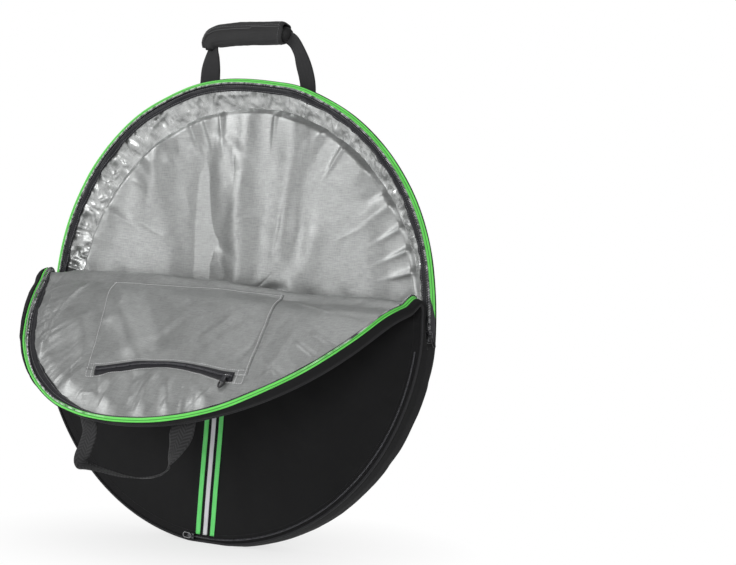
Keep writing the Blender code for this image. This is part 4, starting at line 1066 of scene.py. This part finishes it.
# Webbing loops in millimetres from their start: x, y, z, half width, and the turn about the run in radians
BACK_LOOP = (
    (-104.5, 0, 0, 18.8, 0), (-101.8, 0, 26, 19.8, 0), (-99.8, 0, 50, 20.8, 0), (-99, 0, 81, 20, 0),
    (-97.2, 0, 102, 17, 0.1), (-95.5, 0, 119, 11.8, 0.2), (-92.5, 0, 131, 9.8, 0.2), (-80, 0, 138, 9.5, 0),
    (-50, 0, 139, 10, 0), (0, 0, 139, 10, 0), (45, 0, 138.5, 10, 0), (60, 0, 135, 10.8, -0.1),
    (74, 0, 127, 13, -0.3), (85.5, 0, 111, 16, -0.42), (95, 0, 90, 17.8, -0.3), (103.5, 0, 68, 18.2, -0.26),
    (108.2, 0, 46, 18.4, -0.24), (106.6, 0, 22, 18.6, -0.12), (104, 0, 0, 18.7, 0),
)
# The front one is folded over at its lower left and twisted on its right
FRONT_LOOP = (
    (-104, 0, 0, 15.8, 0), (-97.5, -1, -26, 15.8, 0), (-90, -3, -50, 15.6, -0.03), (-93.5, -7, -74, 14.5, 0),
    (-98.5, -11, -92.5, 12.5, 0.35), (-94.5, -12, -103.5, 12, 0.95), (-78, -10, -107.5, 13, 1.42),
    (-45, -7, -112, 15, 1.63), (-10, -6, -116, 15.8, 1.68), (25, -5, -114.5, 15.8, 1.66),
    (50, -5, -108.5, 15.8, 1.5), (70, -4.5, -98.5, 16, 1.15), (76.3, -4, -80, 17, 0.7),
    (86.1, -3, -60, 18, 0.22), (93.3, -2, -41, 19.2, -0.25), (101, -1, -18, 18, -0.1), (104, 0, 0, 16, 0),
)
# Depth of the back handle, height of its loop's ends, and the outer face of its tabs
HANDLE_DEPTH, LOOP_FOOT, TAB_DEPTH = 0.048, 0.7339, 0.0462
# The grip's middle line in millimetres: x and z
GRIP_LINE = ((-103.5, 853), (-100, 865.5), (-86, 873.5), (-50, 875.5), (0, 875.7), (40, 875), (57, 873.5))
# Its half height and half depth in millimetres by share of its length
GRIP_PLACES = (0, 0.04, 0.1, 0.2, 0.9, 0.96, 0.985, 1)
GRIP_TALL = (11.2, 13.8, 16.4, 18.2, 18.4, 18, 17, 15.8)
GRIP_DEEP = (8.5, 10.5, 12.5, 13.8, 14.2, 14, 13.5, 12.8)


def make_loop(body, start, knots, wall, finish):
    """Loop of webbing through a table's knots."""
    scale = np.array((1000, 1000, 1000, 1000, 1))
    path = smooth_path(np.array(knots) / scale + (*start, 0.0, 0.0), 8)
    centre, half, turn = path[:, :3], path[:, 3:4], path[:, 4:5]
    flat = np.cross(unit(np.gradient(centre, axis=0)), BACKWARD)
    side = flat * np.cos(turn) + BACKWARD * np.sin(turn)
    across = np.linspace(-1, 1, 9)
    points = centre[:, None] + side[:, None] * (across[None, :, None] * half[:, None])
    uv = stacked(run_along(centre)[:, None], across * half)
    dress(grid_object(f"{body}_webbing", points, uv), finish, body, (f"{body}_strap",), wall, 0.0)


def make_grip():
    """Foam wrapped in cloth round the back handle, with the cloth's overlap along its top and a painted highlight
    on the overlap's edge.
    """
    body, length, sides = "back_handle", 48, 96
    t, ring = np.linspace(0, 1, length)[:, None], circle(sides)[None, :]
    line = smooth_path([(x, HANDLE_DEPTH, z) for x, z in np.array(GRIP_LINE) / 1000], 12)
    run = run_along(line)
    centre = points_at(t[:, 0], run / run[-1], line)
    ahead = unit(np.gradient(centre, axis=0))
    over = np.cross(ahead, BACKWARD)
    lap_at = 0.44 + 0.04 * noise(t * 7, 0.0, 173)
    lap = 0.0024 * smooth((ring - lap_at) / 0.1) * smooth((4.2 - ring) / 1.6)
    lap = lap - 0.0012 * np.exp(-((ring - lap_at + 0.06) / 0.1) ** 2) + 0.0007 * noise(t * 4, ring * 5, 174)
    bump = 1 + 0.022 * noise(t * 9, ring * 1.2, 171) + 0.012 * noise(t * 26, ring * 0.8, 172)
    square = (np.abs(np.cos(ring)) ** 3.0 + np.abs(np.sin(ring)) ** 3.0) ** (-1 / 3.0)
    radial = (1 + lap / 0.015) * bump
    tall, deep = (np.interp(t, GRIP_PLACES, values) / 1000 for values in (GRIP_TALL, GRIP_DEEP))
    points = (centre[:, None] + over[:, None] * (tall * (np.sin(ring) * square) * radial)[..., None]
              + FRONTWARD * (deep * (np.cos(ring) * square) * radial)[..., None])
    dress(grid_object("back_handle_grip_cloth", points, close_v=True), GRIP_CLOTH, body,
          ("back_handle_grip",), GRIP_WALL)

    def beside_lap(shift, start, end):
        column = np.round((lap_at[:, 0] + shift) / (2 * math.pi) * sides).astype(int)
        return np.array([points[i, column[i]] for i in range(start, end)])
    hem = points[length - 3, list(range(-24, 28))]
    rows = [beside_lap(0.16, 2, length - 1) + (0.0, -0.0002, 0.0003), hem + (0.0, -0.0003, 0.0)]
    dress(stitches("back_handle_grip_stitches", rows, *GRIP_STITCH, (0.0, -0.6, 0.8)), GREY_THREAD,
          body)
    # The overlap's edge, in lighter cloth: a painted highlight.
    dress(tube("back_handle_grip_edge", beside_lap(0.07, 3, length - 2), 0.0009, 8), GRIP_HIGHLIGHT_EDGE,
          body)

    # The foam inside shows at both ends
    core = np.concatenate([[centre[0] - ahead[0] * 0.003], centre,
                           [centre[-1] + ahead[-1] * reach for reach in (0.004, 0.008, 0.0105)]])
    core[-3:, 2] -= (0.0005, 0.0018, 0.003)
    size = np.concatenate([[0.55], np.full(length, 1.0), [0.95, 0.78, 0.42]])
    size[1:8] = np.linspace(0.66, 1.0, 7)
    dress(tube("back_handle_foam_core", core, 0.0128 * size, 20, oval=(0.86, 1.0)), DARK_FOAM, body)


def make_tabs(prefix, half, low, high, back):
    """Sewn ends of a handle, each with its box and cross of stitches."""
    inset, share = 0.0035, np.linspace(0, 1, 12)
    out, body = (BACKWARD, "bag_body") if back else (FRONTWARD, "flap")
    for name, x_mid in ((f"{prefix}_left", -TAB_MIDDLE), (f"{prefix}_right", TAB_MIDDLE)):
        def surface(x, z):
            quilt = 0.0004 * hump((x - x_mid + half) / (2 * half)) * hump((z - low) / (high - low))
            depth = TAB_DEPTH + quilt if back else front_face(x, z) - 0.0012 - quilt
            return stacked(x, depth, z)
        xx, zz = grid_of(np.linspace(x_mid - half, x_mid + half, 15), np.linspace(low, high, 20))
        points = surface(xx, zz)
        dress(grid_object(f"{name}_webbing", points if back else opened(points),
                          stacked(zz, xx - x_mid), flip=back), WEBBING, body, (name,), WEBBING_WALL)
        left, right, foot, top = x_mid - half + inset, x_mid + half - inset, low + inset, high - inset
        a, b, c, d = (left, foot), (right, foot), (right, top), (left, top)
        rows = [surface(p[0] + (q[0] - p[0]) * share, p[1] + (q[1] - p[1]) * share) + out * 0.0001
                for p, q in ((a, b), (b, c), (c, d), (d, a), (a, c), (b, d))]
        dress(stitches(f"{name}_stitches", rows, *TAB_STITCH, out, fold=not back), GREY_THREAD, body)


def make_handles():
    """The back handle with its grip, the front handle, and the tabs of both."""
    make_loop("back_handle", (0.0, HANDLE_DEPTH, LOOP_FOOT), BACK_LOOP, BACK_WEBBING_WALL, WEBBING)
    make_grip()
    make_tabs("handle_tab", half=0.019, low=0.6871, high=0.7385, back=True)
    make_tabs("flap_handle_tab", half=0.016, low=0.7015, high=0.748, back=False)
    low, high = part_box("front_handle_strap")
    make_loop("front_handle", (0.0, (low[1] + high[1]) / 2, high[2]), FRONT_LOOP, WEBBING_WALL, FRONT_WEBBING)


# ---- pocket and small zips

# Corners of the pocket in the closed frame: by the fold left and right, far left and right
POCKET_CORNERS = ((-0.206, 0.4785), (0.14, 0.464), (-0.122, 0.6985), (0.186, 0.6785))
POCKET_BOW = 0.022  # how far its zip bows towards the fold
POCKET_COIL_TURNS, POCKET_COIL_WIRE = 150, 0.00038
# The zip by share of the pocket's width: the tape's ends, the coil's start and length; and by share
# from the fold: the tape's near edge, the coil and the tape's far edge
POCKET_TAPE_ENDS, COIL_START, COIL_LENGTH = (0.055, 0.925), 0.06, 0.86
ZIP_LOW, ZIP_MIDDLE, ZIP_HIGH = 0.974, 1.02, 1.064


def pocket_sheet(u, v, proud):
    """Point on the pocket by share across and share from the fold, in the closed frame."""
    x, z = (((1 - u) * a + u * b) * (1 - v) + ((1 - u) * c + u * d) * v for a, b, c, d in zip(*POCKET_CORNERS))
    z = z - POCKET_BOW * hump(np.clip(u * 1.1, 0, 1)) ** 1.5 * v ** 3
    return stacked(x, pocket_floor(x, z) + proud, z)


def make_pocket():
    """Pocket on the flap's lining, its zip and the rows of stitches round it."""
    u, v = grid_of(np.linspace(0, 1, 120), np.linspace(0, 1, 80))
    base = pocket_sheet(u, v, 0.0)[..., [0, 2]]
    edge = np.minimum(np.minimum(u, 1 - u) * 0.33, np.minimum(v, 1 - v) * 0.2)
    pressed = np.maximum(creased(base[..., 0], base[..., 1], POCKET_CREASES), -0.0012)
    lift = 0.0007 + 0.0022 * smooth(edge / 0.04) + pressed * smooth(edge / 0.012)
    dress(grid_object("pocket_cloth", opened(pocket_sheet(u, v, lift)), base, flip=True), FLAP_LINING,
          "flap", ("pocket_panel",), FLAP_LINING_WALL)

    u, v = grid_of(np.linspace(*POCKET_TAPE_ENDS, 90), np.linspace(ZIP_LOW, ZIP_HIGH, 9))
    crown = 0.0008 * hump((v - ZIP_LOW) / (ZIP_HIGH - ZIP_LOW))
    dress(grid_object("pocket_zip_tape_cloth", opened(pocket_sheet(u, v, 0.0014 + crown)), flip=True), BINDING,
          "flap", ("pocket_zip_tape",), POCKET_TAPE_WALL)
    t, phase = coil_turns(POCKET_COIL_TURNS)
    line = pocket_sheet(COIL_START + COIL_LENGTH * t, np.full_like(t, ZIP_MIDDLE), 0.003)
    line[:, 1] += 0.001 * np.sin(phase)
    line[:, 2] += 0.0014 * np.cos(phase)
    dress(tube("pocket_zip_coil_teeth", opened(line), POCKET_COIL_WIRE, 6, up=(0.1, 0.3, 1)), COIL,
          "flap", ("pocket_zip_coil",))

    t = np.linspace(0, 1, 120)
    one = np.full_like(t, 1.0)
    past = 0.083 * t
    rows = ((one * 0.01, t), (t, one * 0.016), (one * 0.99, t), (0.02 + 0.96 * t, one * 0.955),
            (0.012 + 0.976 * t, one * 1.083), (one * 0.012, 1.0 + past), (one * 0.988, 1.0 + past),
            (one * 0.04, 0.955 + 0.128 * t), (one * 0.945, 0.955 + 0.128 * t))
    dress(stitches("pocket_stitches", [pocket_sheet(a, b, 0.0018) for a, b in rows], *POCKET_STITCH, BACKWARD,
                   fold=True, share=0.8), PALE_THREAD, "flap")


def block(name, centre, half, power=0.35):
    """Small rounded block on the flap, given in the closed frame."""
    sides, rings = 32, 13

    def bend(value):
        return np.sign(value) * np.abs(value) ** power
    around, height = circle(sides), (np.linspace(-0.49, 0.49, rings) * math.pi)[:, None]
    flat = bend(np.cos(height))
    points = stacked(centre[0] + half[0] * flat * bend(np.cos(around)),
                     centre[1] + half[1] * bend(np.sin(height)),
                     centre[2] + half[2] * flat * bend(np.sin(around)))
    return cap(grid_object(name, opened(points), close_v=True), rings, sides)


def make_pocket_slider():
    """Slider and pull of the pocket's zip, on the zip as it lies on the lining."""
    x_mid, z_mid = 0.1525, 0.6846
    base = float(pocket_floor(np.array(x_mid), np.array(z_mid)))
    dress(block("pocket_slider_block", (x_mid, base + 0.0024, z_mid), (0.0052, 0.0018, 0.0046)), METAL,
          "pocket_slider", ("pocket_slider",))
    arch = np.linspace(0, math.pi, 13)
    path = stacked(x_mid + 0.0036 * np.cos(arch), base + 0.0036 + 0.0016 * np.sin(arch), z_mid)
    # Its lighter metal is a painted glint.
    dress(tube("pocket_slider_bridge", opened(path), 0.0008, 8), GLINT_PAINTED_METAL, "pocket_slider")

    start, length = z_mid + 0.001, 0.0245
    turn = circle(40)
    z = start + 0.0165 - 0.0085 * np.cos(turn)
    x = x_mid + 0.0044 * np.sin(turn) * (1 + 0.15 * np.cos(turn))
    drop = smooth((z - start) / length)
    depth = np.maximum(pocket_floor(x, z) + 0.0028, base + 0.0036) * drop + (base + 0.0042) * (1 - drop)
    path = opened(stacked(x, depth, z))
    dress(tube("pocket_pull_loop", path, 0.0015, 8, closed=True, up=(0, -0.7, 0.7)), CORD,
          "pocket_pull", ("pocket_pull",))
    dress(block("pocket_pull_tab", (x_mid, base + 0.0048, start + 0.0075), (0.0036, 0.0013, 0.008)), METAL,
          "pocket_pull")


def make_seam_zip():
    """Coil of the small zip beside the front seam."""
    start, end, radius, pitch, wire = 97.0, 186.5, 0.3885, 0.0026, 0.0004
    t, phase = coil_turns(int(math.radians(end - start) * radius / pitch))
    angle = start + (end - start) * t
    path = rim(radius + 0.0013 * np.cos(phase), -0.0288 - 0.0009 * np.sin(phase), angle, 0.0008)
    dress(tube("seam_zip_teeth", path, wire, 6, up=(0.1, 1, 0.2)), COIL, replaces=("seam_zip_coil",))


# Materials of the frame's own nodes that stay in view
CARRIED = (
    (METAL, ("slider_right", "slider_left", "seam_slider", "zip_stop_right", "zip_stop_left")),
    # The seam pull's lighter metal is a painted glint.
    (GLINT_PAINTED_METAL, ("seam_pull",)),
    (CORD, ("pull_right", "pull_left")),
)


def finish_carried():
    """Give the frame's visible nodes their materials."""
    for finish, names in CARRIED:
        for name in names:
            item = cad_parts[name]
            for slot in item.material_slots:
                slot.material = finish
            if not item.material_slots:
                item.data.materials.append(finish)


# ---- studio

FLOOR_REACH = 6.0
WORLD_LIGHT = 0.22
# Distances from the bag's middle between which the floor turns white, and its least whiteness
GLOW_START, GLOW_END, GLOW_LEAST = 0.05, 0.45, 0.7
LAMP_AIM = (0.0, 0.0, 0.4)
# Lamps: name, place, watts, width and height
LAMPS = (
    ("key", (-2.6, -2.1, 1.9), 34.0, (1.0, 1.0)),
    ("strip", (-2.1, -2.9, 0.95), 18.0, (0.3, 1.9)),
    ("front", (1.4, -3.2, 0.9), 40.0, (1.6, 1.2)),
    ("side", (3.0, -1.2, 1.6), 15.0, (0.8, 1.6)),
    ("top", (-0.5, 0.1, 3.0), 12.5, (1.6, 1.6)),
    ("back", (-0.6, 3.0, 2.2), 26.0, (2.0, 2.0)),
)


def make_floor():
    """Pale floor that turns white for the camera away from the bag's shadow."""
    f = Finish("floor", "place")
    f.shade(Base_Color=f.ramp(f.cloud(60.0, 3.0), (0.92, 0.92, 0.92), (0.94, 0.94, 0.94)), Roughness=0.9,
            Specular_IOR_Level=0.1)
    glow = f.node("ShaderNodeEmission", {"Color": (1, 1, 1, 1), "Strength": 1.0})
    distance = f.node("ShaderNodeVectorMath", {0: f.where}, operation="LENGTH").outputs["Value"]
    rays = f.node("ShaderNodeLightPath").outputs
    seen = f.math("MAXIMUM", rays["Is Camera Ray"], rays["Is Glossy Ray"])
    share = f.math("MULTIPLY", f.ranged(distance, GLOW_START, GLOW_END, low=GLOW_LEAST), seen)
    f.put(f.tree.nodes["Material Output"].inputs["Surface"], f.mixed_shader(share, f.shader, glow))
    data = bpy.data.meshes.new("floor")
    corners = [(x * FLOOR_REACH, y * FLOOR_REACH, 0) for x, y in ((-1, -1), (1, -1), (1, 1), (-1, 1))]
    data.from_pydata(corners, [], [(0, 1, 2, 3)])
    data.materials.append(f.material)
    placed("floor", data)


def make_studio():
    """Floor, white surround and soft lamps."""
    make_floor()
    world = bpy.data.worlds.new("studio")
    bpy.context.scene.world = world
    world.use_nodes = True
    world.node_tree.nodes.clear()
    f = Nodes(world.node_tree)
    rays = f.node("ShaderNodeLightPath").outputs
    seen = f.math("MAXIMUM", rays["Is Camera Ray"], rays["Is Transmission Ray"])
    dim, white = (f.node("ShaderNodeBackground", {"Color": (1, 1, 1, 1), "Strength": strength})
                  for strength in (WORLD_LIGHT, 1.0))
    f.node("ShaderNodeOutputWorld", {"Surface": f.mixed_shader(seen, dim, white)})
    for name, place, power, size in LAMPS:
        data = bpy.data.lights.new(name, "AREA")
        data.energy = power
        data.shape = "RECTANGLE"
        data.size, data.size_y = size
        lamp = placed(name, data)
        lamp.location = place
        lamp.rotation_euler = (Vector(LAMP_AIM) - Vector(place)).to_track_quat("-Z", "Y").to_euler()


make_studio()
make_front_cloth()
make_front_lining()
make_front_gusset()
make_body_gussets()
make_back()
make_piping()
make_zip()
make_stripes()
make_handles()
make_pocket()
make_pocket_slider()
make_seam_zip()
finish_carried()
